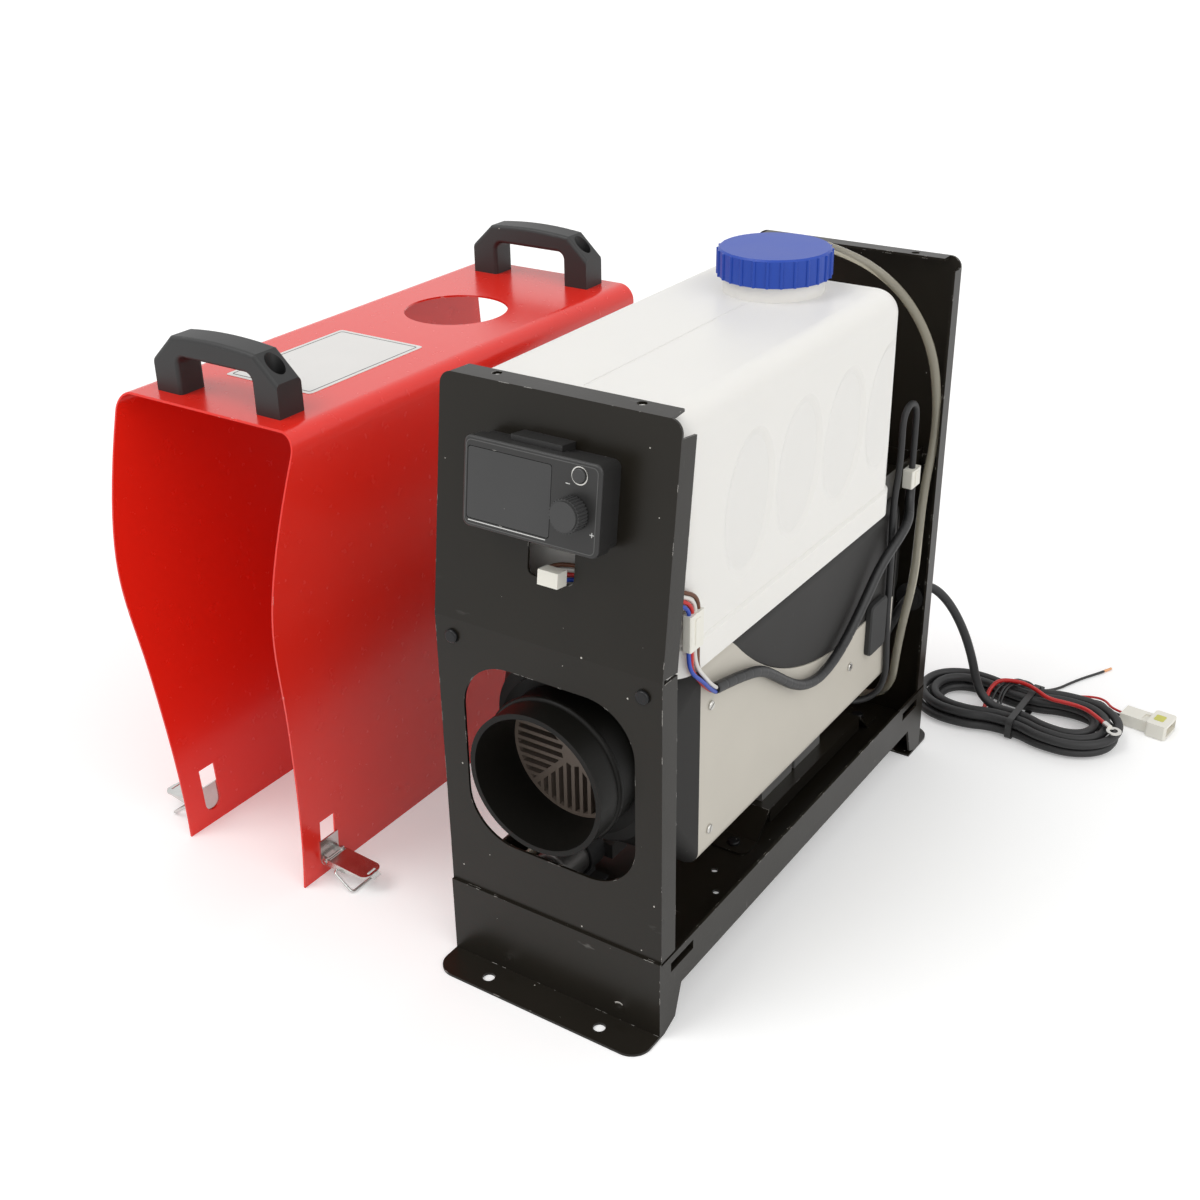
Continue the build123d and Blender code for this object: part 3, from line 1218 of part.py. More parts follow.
def controller_harness():
    """Taped harness that swags along the core's side to the rear connector."""
    points = [
        (64.5, -112, 188),
        (64.4, -98, 185),
        (64.5, -80, 180.5),
        (64.5, -60, 174),
        (64.4, -42, 161),
        (64.5, -22, 146),
        (64.6, -4, 136.5),
        (64.5, 17, 132),
        (64.4, 42, 137),
        (64.6, 68, 153),
        (65.5, 92, 175),
        (68.8, 112, 187.5),
        (67.6, 128, 193),
        (62.5, 139, 199),
        (REAR_PLUG_X, REAR_PLUG_Y, REAR_PLUG_Z - REAR_PLUG[2] / 2 - 4),
        (REAR_PLUG_X, REAR_PLUG_Y, REAR_PLUG_Z - REAR_PLUG[2] / 2),
    ]
    return tube("controller harness", points, HARNESS_R)


def rear_harness():
    """Sensor lead from the rear connector to the core's floor, and the power lead's inner end."""
    grommet_z = CORE_Z0 - FLOOR_GROMMET_H
    sensor = [
        (REAR_PLUG_X, REAR_PLUG_Y, REAR_PLUG_Z + REAR_PLUG[2] / 2),
        (REAR_PLUG_X, REAR_PLUG_Y, REAR_PLUG_Z + 27),
        (61.2, 142, 261.3),
        (61.5, 135.3, 268),
        (61.8, 125.7, 268),
        (62.1, 119, 261.3),
        (62.3, 119.3, 246),
        (62.3, 118.6, 228),
        (62.3, 114, 210),
        (62.3, 114.5, 188),
        (62.3, 116.5, 168),
        (62.3, 117, 146),
        (62.3, 117.5, 125),
        (62.6, 120, 101),
        (62.6, 122, 80),
        (57, 120, 65),
        (46, 112, 60),
        (37.5, 105, 64),
        (36, 104, 69),
        (36, 104, grommet_z),
    ]
    inner = [
        (LEAD_X, LEAD_IN_Y, LEAD_Z),
        (LEAD_X, LEAD_IN_Y - 5, LEAD_Z),
        (54, 158, 112),
        (49, 154, 98),
        (43.5, 148, 82),
        (36, 139, 67),
        (26, 127, 60),
        (19, 117, 62),
        (17.5, 113, 68),
        (17.5, 113, grommet_z),
    ]
    return Compound([tube("sensor lead", sensor, SENSOR_R).solid(), tube("inner lead", inner, LEAD_R).solid()])


def grommets():
    """Rubber pieces: the lead's grommet in the panel, the side bung and two floor grommets."""
    lead = on_axis(Circle(LEAD_HOLE_R - FIT / 2), LEAD_IN_Y, LEAD_OUT_Y, LEAD_X, LEAD_Z)
    rim = Circle(LEAD_HOLE_R + GROMMET_LIP)
    lip = on_axis(rim, PANEL_REAR_Y, PANEL_REAR_Y + GROMMET_LIP_T * 0.7, LEAD_X, LEAD_Z)
    lead += lip + mirror(lip, about=Plane.XZ.offset(-(PANEL_REAR_Y - SHEET / 2)))
    length, height, depth = SIDE_BUNG
    face = Pos(SIDE_BUNG_Y, SIDE_BUNG_Z) * RectangleRounded(length, height, depth)
    bung = along_x(face, CORE_W / 2, CORE_W / 2 + depth)
    bung = chamfer(bung.faces().sort_by(Axis.X)[-1].edges(), depth / 4)
    parts = [lead.solid(), bung.solid()]
    for x, y in ((36, 104), (17.5, 113)):
        ring = Pos(x, y) * Circle(FLOOR_GROMMET_R)
        parts.append(along_z(ring, CORE_Z0 - FLOOR_GROMMET_H, CORE_Z0).solid())
    return Compound(parts)


# ================================================================== power lead
def power_lead():
    """Free stretch of the power lead, from the rear panel down into the hank."""
    knot = hank_knots()[0][0]
    points = [
        (LEAD_X, LEAD_OUT_Y, LEAD_Z),
        (LEAD_X, 191, LEAD_Z),
        (61.5, 203.5, 110.5),
        (70, 213, 96),
        (78, 222, 74),
        (83.5, 229.5, 50),
        (87, 234, 29),
        (92.5, 235, 17.5),
        (knot.X - HANK_LEAD_IN - 10.5, knot.Y, knot.Z),
        (knot.X - HANK_LEAD_IN, knot.Y, knot.Z),
    ]
    return tube("power lead", points, LEAD_R)


def hank_knots():
    """Knots of the hank, each a point and a heading: outward on top, inward below.

    There are eight knots a turn: two at the waist, four where the end bows begin and
    two at their outermost points. The offset from the centre line grows or shrinks
    by the same step from each knot to the next.
    """
    knots = []
    count = HANK_OUT_KNOTS + 1 + HANK_IN_KNOTS
    for step in range(count + 1):
        if step <= HANK_OUT_KNOTS:
            grown = step
            height = HANK_HIGH_Z
        else:
            grown = 2 * HANK_OUT_KNOTS + 1 - step
            height = HANK_LOW_Z
        offset = HANK_INNER + HANK_PITCH * grown / HANK_KNOTS
        run = HANK_HALF_RUN
        places = (
            (0, HANK_WAIST - offset, 1, 0),
            (run, -offset, 1, 0),
            (run + offset, 0, 0, 1),
            (run, offset, -1, 0),
            (0, offset - HANK_WAIST, -1, 0),
            (-run, offset, -1, 0),
            (-run - offset, 0, 0, -1),
            (-run, -offset, 1, 0),
        )
        x, y, heading_x, heading_y = places[step % HANK_KNOTS]
        knots.append((Vector(HANK_X + x, HANK_Y + y, height), Vector(heading_x, heading_y, 0)))
    return knots


def biarc(start, heading, end, end_heading):
    """Two arcs that leave the start along its heading and reach the end along its own."""
    chord = end - start
    total = heading + end_heading
    slack = 2 * (1 - heading.dot(end_heading))
    along = chord.dot(total)
    if slack < PARALLEL:
        reach = chord.dot(chord) / (2 * along)
    else:
        reach = (math.sqrt(along**2 + slack * chord.dot(chord)) - along) / slack
    middle = (start + end + (heading - end_heading) * reach) / 2
    turn = (end - end_heading * reach) - (start + heading * reach)
    return [TangentArc(start, middle, tangent=heading), TangentArc(middle, end, tangent=turn.normalized())]


def hank_path():
    """Centre line of the hank: a straight lead-in, a biarc between knots, a straight tail."""
    knots = hank_knots()
    first, heading = knots[0]
    edges = [Line(first - heading * HANK_LEAD_IN, first)]
    for (start, out), (end, arrive) in zip(knots, knots[1:]):
        edges += biarc(start, out, end, arrive)
    last, heading = knots[-1]
    edges.append(Line(last, last + heading * HANK_TAIL))
    return edges


def self_gap(edges):
    """Least clear gap between parts of the centre line that lie over a turn's width apart."""
    points = []
    along = []
    run = 0.0
    for edge in edges:
        for step in range(HANK_SAMPLES):
            points.append(edge @ (step / HANK_SAMPLES))
            along.append(run + edge.length * step / HANK_SAMPLES)
        run += edge.length
    least = math.inf
    apart = 8 * LEAD_R
    for i, point in enumerate(points):
        for j in range(i + 1, len(points)):
            if along[j] - along[i] > apart:
                least = min(least, (point - points[j]).length)
    return least - 2 * LEAD_R, run


def power_hank():
    """Wound hank of the power lead, one unbroken tube."""
    edges = hank_path()
    gap, length = self_gap(edges)
    path = Wire([edge.edge() if hasattr(edge, "edge") else edge for edge in edges])
    section = Plane(origin=path @ 0, z_dir=path % 0) * Circle(LEAD_R)
    hank = sweep(section, path=path)
    filled = hank.volume / (math.pi * LEAD_R**2 * length)
    print(f"hank: length {length:.0f}, least gap {gap:.2f}, volume ratio {filled:.3f}")
    return hank


def hank_tie():
    """Cable tie drawn round the hank's waist, with its head at the back."""
    waist = [point.Y for point, _ in hank_knots() if point.X == HANK_X]
    rear = max(waist) + LEAD_R + TIE_SIDE_GAP
    front = min(waist) - LEAD_R - TIE_SIDE_GAP
    low = HANK_LOW_Z - LEAD_R - TIE_GAP
    high = HANK_HIGH_Z + LEAD_R + TIE_GAP
    centre = Pos((front + rear) / 2, (low + high) / 2)
    inner = RectangleRounded(rear - front, high - low, TIE_R - TIE_T)
    outer = RectangleRounded(rear - front + 2 * TIE_T, high - low + 2 * TIE_T, TIE_R)
    tie = along_x(centre * (outer - inner), TIE_X - TIE_W / 2, TIE_X + TIE_W / 2)
    head_x = (TIE_X - TIE_HEAD / 2, TIE_X + TIE_HEAD / 2)
    mid = (low + high) / 2
    return tie + slab(head_x, (rear + TIE_T / 2, rear + TIE_HEAD), (mid - TIE_HEAD / 2, mid + TIE_HEAD / 2))


def sleeve_end():
    """Point where the four wires leave the hank's sleeve."""
    last, heading = hank_knots()[-1]
    return last + heading * HANK_TAIL


def ring_wire():
    """Red battery wire, from the sleeve over the hank to its ring terminal."""
    end = sleeve_end()
    points = [
        (end.X, end.Y + 1.45, end.Z),
        (end.X + 5, end.Y + 1.45, end.Z),
        (92.5, 232, 4.9),
        (93.6, 240, 5.8),
        (91, 248, 8),
        (90.8, 255.2, 13.5),
        (94.5, 261.5, 18.9),
        (104, 266, 19.2),
        (114, 266.5, 19),
        (124, 262, 18.8),
        (134, 257, 17.4),
        (149, 260, 16.8),
        (161, 258.5, 16.9),
        (TERMINAL_X - 2 * TERMINAL_ARM[0], TERMINAL_Y + 2 * TERMINAL_ARM[1], TERMINAL_Z),
        (TERMINAL_X - TERMINAL_ARM[0], TERMINAL_Y + TERMINAL_ARM[1], TERMINAL_Z),
    ]
    return tube("ring wire", points, RING_WIRE_R)


def ring_terminal():
    """Crimped ring terminal lying on the hank."""
    z = TERMINAL_Z - TERMINAL_T / 2
    flat = Circle(TERMINAL_R)
    heading = math.degrees(math.atan2(TERMINAL_ARM[1], -TERMINAL_ARM[0]))
    reach = math.hypot(*TERMINAL_ARM)
    flat += Pos(reach / 2, 0) * Rectangle(reach, TERMINAL_R * 0.8)
    flat -= Circle(TERMINAL_HOLE_R)
    terminal = extrude(flat, amount=TERMINAL_T)
    barrel = rod((reach - 6, 0, TERMINAL_T / 2), (reach, 0, TERMINAL_T / 2), RING_WIRE_R + 0.6)
    terminal += barrel
    return Pos(TERMINAL_X, TERMINAL_Y, z) * Rot(0, 0, heading) * terminal


def bare_wire():
    """Black earth wire with a stripped end, out over the back of the hank and along the floor."""
    end = sleeve_end()
    points = [
        (end.X, end.Y - 0.3, end.Z + 2),
        (end.X + 8, end.Y - 0.3, end.Z + 2),
        (97, 236, 5.4),
        (95.5, 247, 7.6),
        (95.6, 254.4, 12.8),
        (97.4, 261, 16.4),
        (101, 270, 16.1),
        (105, 279, 14.2),
        (109, 286, 8),
        (114, 291, 2.4),
        (121, 295, 1.2),
        (128, 304, 1.2),
        (132.5, 316, 1.2),
        (139, 330, 1.2),
        (147, 344, 1.2),
        (151.5, 354, 1.2),
    ]
    return tube("bare wire", points, BARE_WIRE_R)


def plug_wires():
    """Red and black wire pair that runs to the two-pin connector."""
    end = sleeve_end()
    wires = []
    for name, side, out, lift in (("red plug wire", 1.0, -0.6, -2.05), ("black plug wire", -1.2, -1.9, -0.2)):
        back = connector_place() * Pos(0, 2 * side, 0)
        points = [
            (end.X, end.Y + out, end.Z + lift),
            (end.X + 4.5, end.Y + out, end.Z + lift),
            (97 - 0.8 * side, 231, end.Z + lift + 0.1),
            (103 - 1.2 * side, 238.2, 3.9),
            (101.2 - side, 247, 7.2),
            (101 - side, 253.2, 13.8),
            (102 - side, 260.6, 16.8),
            (106.5 - side, 271, 16.5),
            (110.5 - side, 279.5, 14),
            (115 - side, 285.5 + 0.9 * side, 7),
            (124, 287.5 + 1.1 * side, 2.4),
            (137, 291 + 3 * side, 1.5),
            (151, 300 + 2.5 * side, 2.2),
            (163, 299 + 2 * side, 4),
            tuple((back * Pos(-9, 0, 0)).position),
            tuple(back.position),
        ]
        wires.append(tube(name, points, PAIR_WIRE_R).solid())
    return Compound(wires)


def connector_place():
    """Place of the connector's wire end on the floor."""
    return Pos(CONNECTOR_X, CONNECTOR_Y, CONNECTOR_BACK[2] / 2 + FIT) * Rot(0, 0, CONNECTOR_TURN)


def power_connector():
    """Two-pin connector housing: a narrow wire end and a wide latched front."""
    length, width, height = CONNECTOR_BACK
    body = Pos(length / 2, 0, 0) * Box(length, width, height)
    front_l, front_w, front_h = CONNECTOR_FRONT
    rise = (front_h - height) / 2
    front = Pos(length + front_l / 2, 0, rise) * Box(front_l, front_w, front_h)
    body += chamfer(front.edges().filter_by(Axis.Z), 1.5)
    body -= Pos(length + front_l, 0, rise) * Box(front_l, front_w - 4, front_h - 4)
    body -= Pos(length - 2, 0, height / 2) * Box(6, width / 2, 2)
    return connector_place() * body


# ================================================================== cover
def cover_profile(inset):
    """Front view of the cover's sheet: leaning sides joined by a flat top."""
    top = COVER_TOP_W / 2 - inset
    foot = COVER_FOOT_W / 2 - inset
    low = -inset
    lean = (COVER_TOP_W - COVER_FOOT_W) / 2 / COVER_H
    height = COVER_H - inset
    foot += lean * low
    top -= lean * inset
    shape = outline((-foot, low), (-top, height), (top, height), (foot, low))
    return fillet(shape.vertices().sort_by(Axis.Y)[-2:], COVER_R - inset)


def cover_shell():
    """Folded sheet cover with a swept front edge, a hole for the tank's cap and latch slots."""
    front_edge = [(-HALF_D - ahead, z) for ahead, z in COVER_FRONT_EDGE]
    front = min(y for y, _ in front_edge) - 1
    sheet = along_y(cover_profile(0) - cover_profile(COVER_T), front, COVER_REAR_Y)
    edge = Spline(*front_edge)
    top = edge @ 1
    above = COVER_H + 1
    rear = COVER_REAR_Y
    rest = Polyline(top, (top.X, above), (rear, above), (rear, -1), front_edge[0])
    body = make_face([edge, rest])
    sheet &= along_x(body, -COVER_TOP_W, COVER_TOP_W)
    sheet -= along_z(Pos(0, NECK_Y) * Circle(COVER_HOLE_R), COVER_H - COVER_R, COVER_H + 1)
    half = SLOT_W / 2
    slot = Pos(0, (SLOT_Z0 + half + SLOT_Z1) / 2) * Rectangle(SLOT_W, SLOT_Z1 - SLOT_Z0 - half)
    slot += Pos(0, SLOT_Z0 + half) * Circle(half)
    for y in (-LATCH_Y, LATCH_Y):
        sheet -= along_x(Pos(y, 0) * slot, -COVER_TOP_W, COVER_TOP_W)
    return Pos(COVER_X, 0, 0) * sheet


def handle(y):
    """Moulded carrying handle on the cover's top, with a screw pocket in each shoulder."""
    half = HANDLE_L / 2
    crown = (0, HANDLE_H + HANDLE_ARCH)
    left = Polyline((-HANDLE_TOP_HALF, HANDLE_H), (-half, HANDLE_SHOULDER), (-half, 0), (half, 0))
    right = Polyline((half, 0), (half, HANDLE_SHOULDER), (HANDLE_TOP_HALF, HANDLE_H))
    arch = ThreePointArc((HANDLE_TOP_HALF, HANDLE_H), crown, (-HANDLE_TOP_HALF, HANDLE_H))
    body = make_face([left, right, arch])
    inner = half - HANDLE_FOOT
    rise = HANDLE_H - HANDLE_GRIP
    hole = Pos(0, rise / 2 - 1) * Rectangle(2 * inner, rise + 2)
    body -= fillet(hole.vertices().sort_by(Axis.Y)[-2:], HANDLE_INNER_R)
    grip = along_y(body, -HANDLE_W / 2, HANDLE_W / 2)
    upper = grip.edges().filter_by_position(Axis.Z, HANDLE_H - HANDLE_GRIP, 2 * HANDLE_H)
    ends = upper.group_by(Axis.Y)
    grip = fillet(ends[0] + ends[-1], HANDLE_EDGE_R)
    for x in (-POCKET_X, POCKET_X):
        grip -= along_z(Pos(x, 0) * Circle(POCKET_R), POCKET_FLOOR, HANDLE_H)
    return Pos(COVER_X, y, COVER_H) * grip


# ================================================================== latches of the cover
def latch_place(side, y):
    """Frame of one latch: x outward from the leaning wall, y along it, z up the wall."""
    origin = (COVER_X + side * COVER_FOOT_W / 2, y, 0)
    outward = Vector(side * math.cos(COVER_LEAN), 0, -math.sin(COVER_LEAN))
    up = Vector(side * math.sin(COVER_LEAN), 0, math.cos(COVER_LEAN))
    return Plane(origin=origin, x_dir=outward, z_dir=up).location


def latch_plate():
    """Plate on the cover's wall with two ears and the hinge pin across them."""
    half = LATCH_PLATE_W / 2
    mid_z = (LATCH_PLATE_Z0 + half + LATCH_PLATE_Z1) / 2
    plate = Pos(0, mid_z) * Rectangle(LATCH_PLATE_W, LATCH_PLATE_Z1 - LATCH_PLATE_Z0 - half)
    plate += Pos(0, LATCH_PLATE_Z0 + half) * Circle(half)
    body = along_x(plate, 0, LATCH_T)
    ear = Pos(HINGE_OUT, HINGE_Z) * Circle(EAR_R)
    ear += Pos(HINGE_OUT / 2, HINGE_Z) * Rectangle(HINGE_OUT, 2 * EAR_R)
    for side in (-1, 1):
        middle = side * EAR_Y
        body += along_y(ear, middle - LATCH_T / 2, middle + LATCH_T / 2)
    return body + rod((HINGE_OUT, -HINGE_END, HINGE_Z), (HINGE_OUT, HINGE_END, HINGE_Z), HINGE_R)


def latch_lever():
    """Channel-shaped lever whose lips turn on the hinge pin and carry the bail."""
    x0 = HINGE_OUT + LEVER_START
    x1 = HINGE_OUT + LEVER_L
    half = LEVER_W / 2
    strip = Pos((x0 + x1) / 2, 0) * Rectangle(x1 - x0, LEVER_W)
    strip = fillet(strip.vertices().sort_by(Axis.X)[-2:], LEVER_TIP_R)
    body = along_z(strip, HINGE_Z + HINGE_R, HINGE_Z + HINGE_R + LEVER_T)
    curl = Pos(x1, 0, HINGE_Z + HINGE_R) * Rot(0, 18, 0) * Box(6, LEVER_W - 2 * LEVER_TIP_R, LEVER_T)
    body += curl
    lip = outline(
        (HINGE_OUT, HINGE_Z - EAR_R),
        (HINGE_OUT + LEVER_LIP_L, HINGE_Z - EAR_R * 0.7),
        (x1 - LEVER_TIP_R, HINGE_Z + HINGE_R + LEVER_T / 2),
        (HINGE_OUT, HINGE_Z + HINGE_R + LEVER_T),
    )
    lip += Pos(HINGE_OUT, HINGE_Z) * Circle(EAR_R)
    lip -= Pos(HINGE_OUT, HINGE_Z) * Circle(HINGE_R + PIVOT_FIT)
    lip -= Pos(HINGE_OUT + BAIL_OUT, HINGE_Z - BAIL_DROP) * Circle(BAIL_R + PIVOT_FIT)
    for side in (-1, 1):
        y = side * (half - LEVER_T / 2)
        body += along_y(lip, y - LEVER_T / 2, y + LEVER_T / 2)
    return body


def bail_rest_angle():
    """Angle of the bail below the lever at which its bar lies just over the floor."""
    pivot_x = HINGE_OUT + BAIL_OUT
    pivot_z = HINGE_Z - BAIL_DROP
    height = pivot_z * math.cos(COVER_LEAN) - pivot_x * math.sin(COVER_LEAN)
    drop = height - BAIL_R - BAIL_FLOOR_GAP
    return math.degrees(math.asin(drop / BAIL_L) - COVER_LEAN)


def latch_bail():
    """Wire loop whose turned-in ends sit in the lever's lips."""
    half = BAIL_W / 2 - BAIL_R
    route = FilletPolyline(
        (0, -BAIL_STUB),
        (0, -half),
        (BAIL_L, -half),
        (BAIL_L, half),
        (0, half),
        (0, BAIL_STUB),
        radius=BAIL_CORNER_R,
    )
    section = Plane(origin=route @ 0, z_dir=route % 0) * Circle(BAIL_R)
    wire = sweep(section, path=route)
    wire = wire.rotate(Axis.Y, bail_rest_angle())
    return Pos(HINGE_OUT + BAIL_OUT, 0, HINGE_Z - BAIL_DROP) * wire


# ================================================================== files
def save(name, shape):
    """Write one sub-part."""
    export_step(shape, f"parts/{name}.step")


def build():
    """Build every sub-part in turn."""
    pieces = (
        base_tray,
        front_panel,
        rear_panel,
        core_bracket,
        tank_brackets,
        frame_screws,
        core_lower_shell,
        core_upper_cover,
        outlet_cap,
        outlet_grille,
        duct_collar,
        intake_cap,
        heat_exchanger,
        burner,
        glow_plug,
        blower_housing,
        blower_motor,
        air_impeller,
        burner_impeller,
        motor_shaft,
        control_board,
        fuel_tank,
        fuel_cap,
        cap_liner,
        fuel_pickup,
        fuel_hose,
        fuel_pump,
        pump_clip,
        fuel_filter,
        controller_cradle,
        controller_case,
        controller_screen,
        controller_knob,
        controller_button,
        loom_connectors,
        loom_wires,
        controller_harness,
        rear_harness,
        grommets,
        power_lead,
        power_hank,
        hank_tie,
        ring_wire,
        ring_terminal,
        bare_wire,
        plug_wires,
        power_connector,
        cover_shell,
    )
    os.makedirs("parts", exist_ok=True)
    for piece in pieces:
        save(piece.__name__, piece())
    save("front_handle", handle(HANDLE_FRONT_Y))
    save("rear_handle", handle(HANDLE_REAR_Y))
    plates = []
    for side, side_name in ((1, "right"), (-1, "left")):
        for y, end_name in ((-LATCH_Y, "front"), (LATCH_Y, "rear")):
            place = latch_place(side, y)
            plates.append((place * latch_plate()).solid())
            save(f"lever_{end_name}_{side_name}", place * latch_lever())
            save(f"bail_{end_name}_{side_name}", place * latch_bail())
    save("latch_plates", Compound(plates))


build()
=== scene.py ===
"""Looks of a diesel air heater that stands beside its taken-off cover.

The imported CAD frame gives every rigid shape. This script lays the cords, hoses and
wires as smooth splines, adds the small parts that only the eye needs, and gives each
surface its finish. Sizes in the classes are millimetres; meshes are made in metres.
"""

import json
import logging
import math
from collections.abc import Callable, Iterable, Sequence
from dataclasses import dataclass
from enum import Enum

import bmesh
import bpy
from mathutils import Matrix, Vector

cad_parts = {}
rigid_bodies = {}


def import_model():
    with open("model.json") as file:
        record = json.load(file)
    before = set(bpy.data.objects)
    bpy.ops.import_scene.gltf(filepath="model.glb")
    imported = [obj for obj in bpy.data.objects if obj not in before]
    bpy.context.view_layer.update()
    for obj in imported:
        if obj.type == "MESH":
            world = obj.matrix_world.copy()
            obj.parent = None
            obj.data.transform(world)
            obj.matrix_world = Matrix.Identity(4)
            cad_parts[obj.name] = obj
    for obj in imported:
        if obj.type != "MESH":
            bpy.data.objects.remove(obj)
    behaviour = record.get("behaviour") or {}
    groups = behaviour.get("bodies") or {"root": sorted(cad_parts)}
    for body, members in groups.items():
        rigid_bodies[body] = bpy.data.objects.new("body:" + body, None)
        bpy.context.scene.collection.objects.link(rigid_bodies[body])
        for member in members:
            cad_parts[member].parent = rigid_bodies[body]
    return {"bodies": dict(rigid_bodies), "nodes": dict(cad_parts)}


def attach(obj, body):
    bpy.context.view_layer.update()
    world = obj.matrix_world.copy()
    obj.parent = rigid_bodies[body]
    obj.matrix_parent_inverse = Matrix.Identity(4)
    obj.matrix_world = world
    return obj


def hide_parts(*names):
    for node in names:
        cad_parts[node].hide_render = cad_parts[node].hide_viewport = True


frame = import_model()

LOG = logging.getLogger("air_heater")
MM = 0.001
FINE_STEP = 0.0008
FINEST_STEP = 0.0005
WHITE = (1.0, 1.0, 1.0, 1.0)

Flat = tuple[float, float]
Point = tuple[float, float, float]
Colour = tuple[float, float, float]
Build = bmesh.types.BMesh
Corner = bmesh.types.BMVert
Tree = bpy.types.NodeTree
Node = bpy.types.Node
Socket = bpy.types.NodeSocket


# ================================================================== finishes
class Grain(Enum):
    """Fine relief of a surface: noise scale per metre and height in metres."""

    NONE = (1.0, 0.0)
    PAINT = (420.0, 0.00004)
    MOULDED = (1500.0, 0.00005)
    CAST = (700.0, 0.00016)
    BLOWN = (60.0, 0.0004)
    SLEEVE = (380.0, 0.00016)
    TAPE = (900.0, 0.00008)
    BRUSHED = (2400.0, 0.00002)
    RUBBER = (1100.0, 0.00007)


@dataclass(frozen=True)
class Finish:
    """One finish: its plain values and how much of each effect it carries.

    Colours are linear. The amounts of drift, specks, scuffs and wear run from 0,
    none, to 1, a lot. A scale is how many times a pattern repeats in a metre.
    """

    name: str
    colour: Colour
    roughness: float
    metallic: float = 0.0
    grain: Grain = Grain.MOULDED
    drift: float = 0.12
    drift_scale: float = 18.0
    rough_drift: float = 0.06
    specks: float = 0.0
    speck_colour: Colour = (0.55, 0.53, 0.48)
    speck_scale: float = 260.0
    scuffs: float = 0.0
    scuff_colour: Colour = (0.30, 0.29, 0.27)
    wear: float = 0.0
    wear_colour: Colour = (0.46, 0.44, 0.41)
    coat: float = 0.0
    transmission: float = 0.0
    ior: float = 1.5
    specular: float = 0.5
    subsurface: float = 0.0


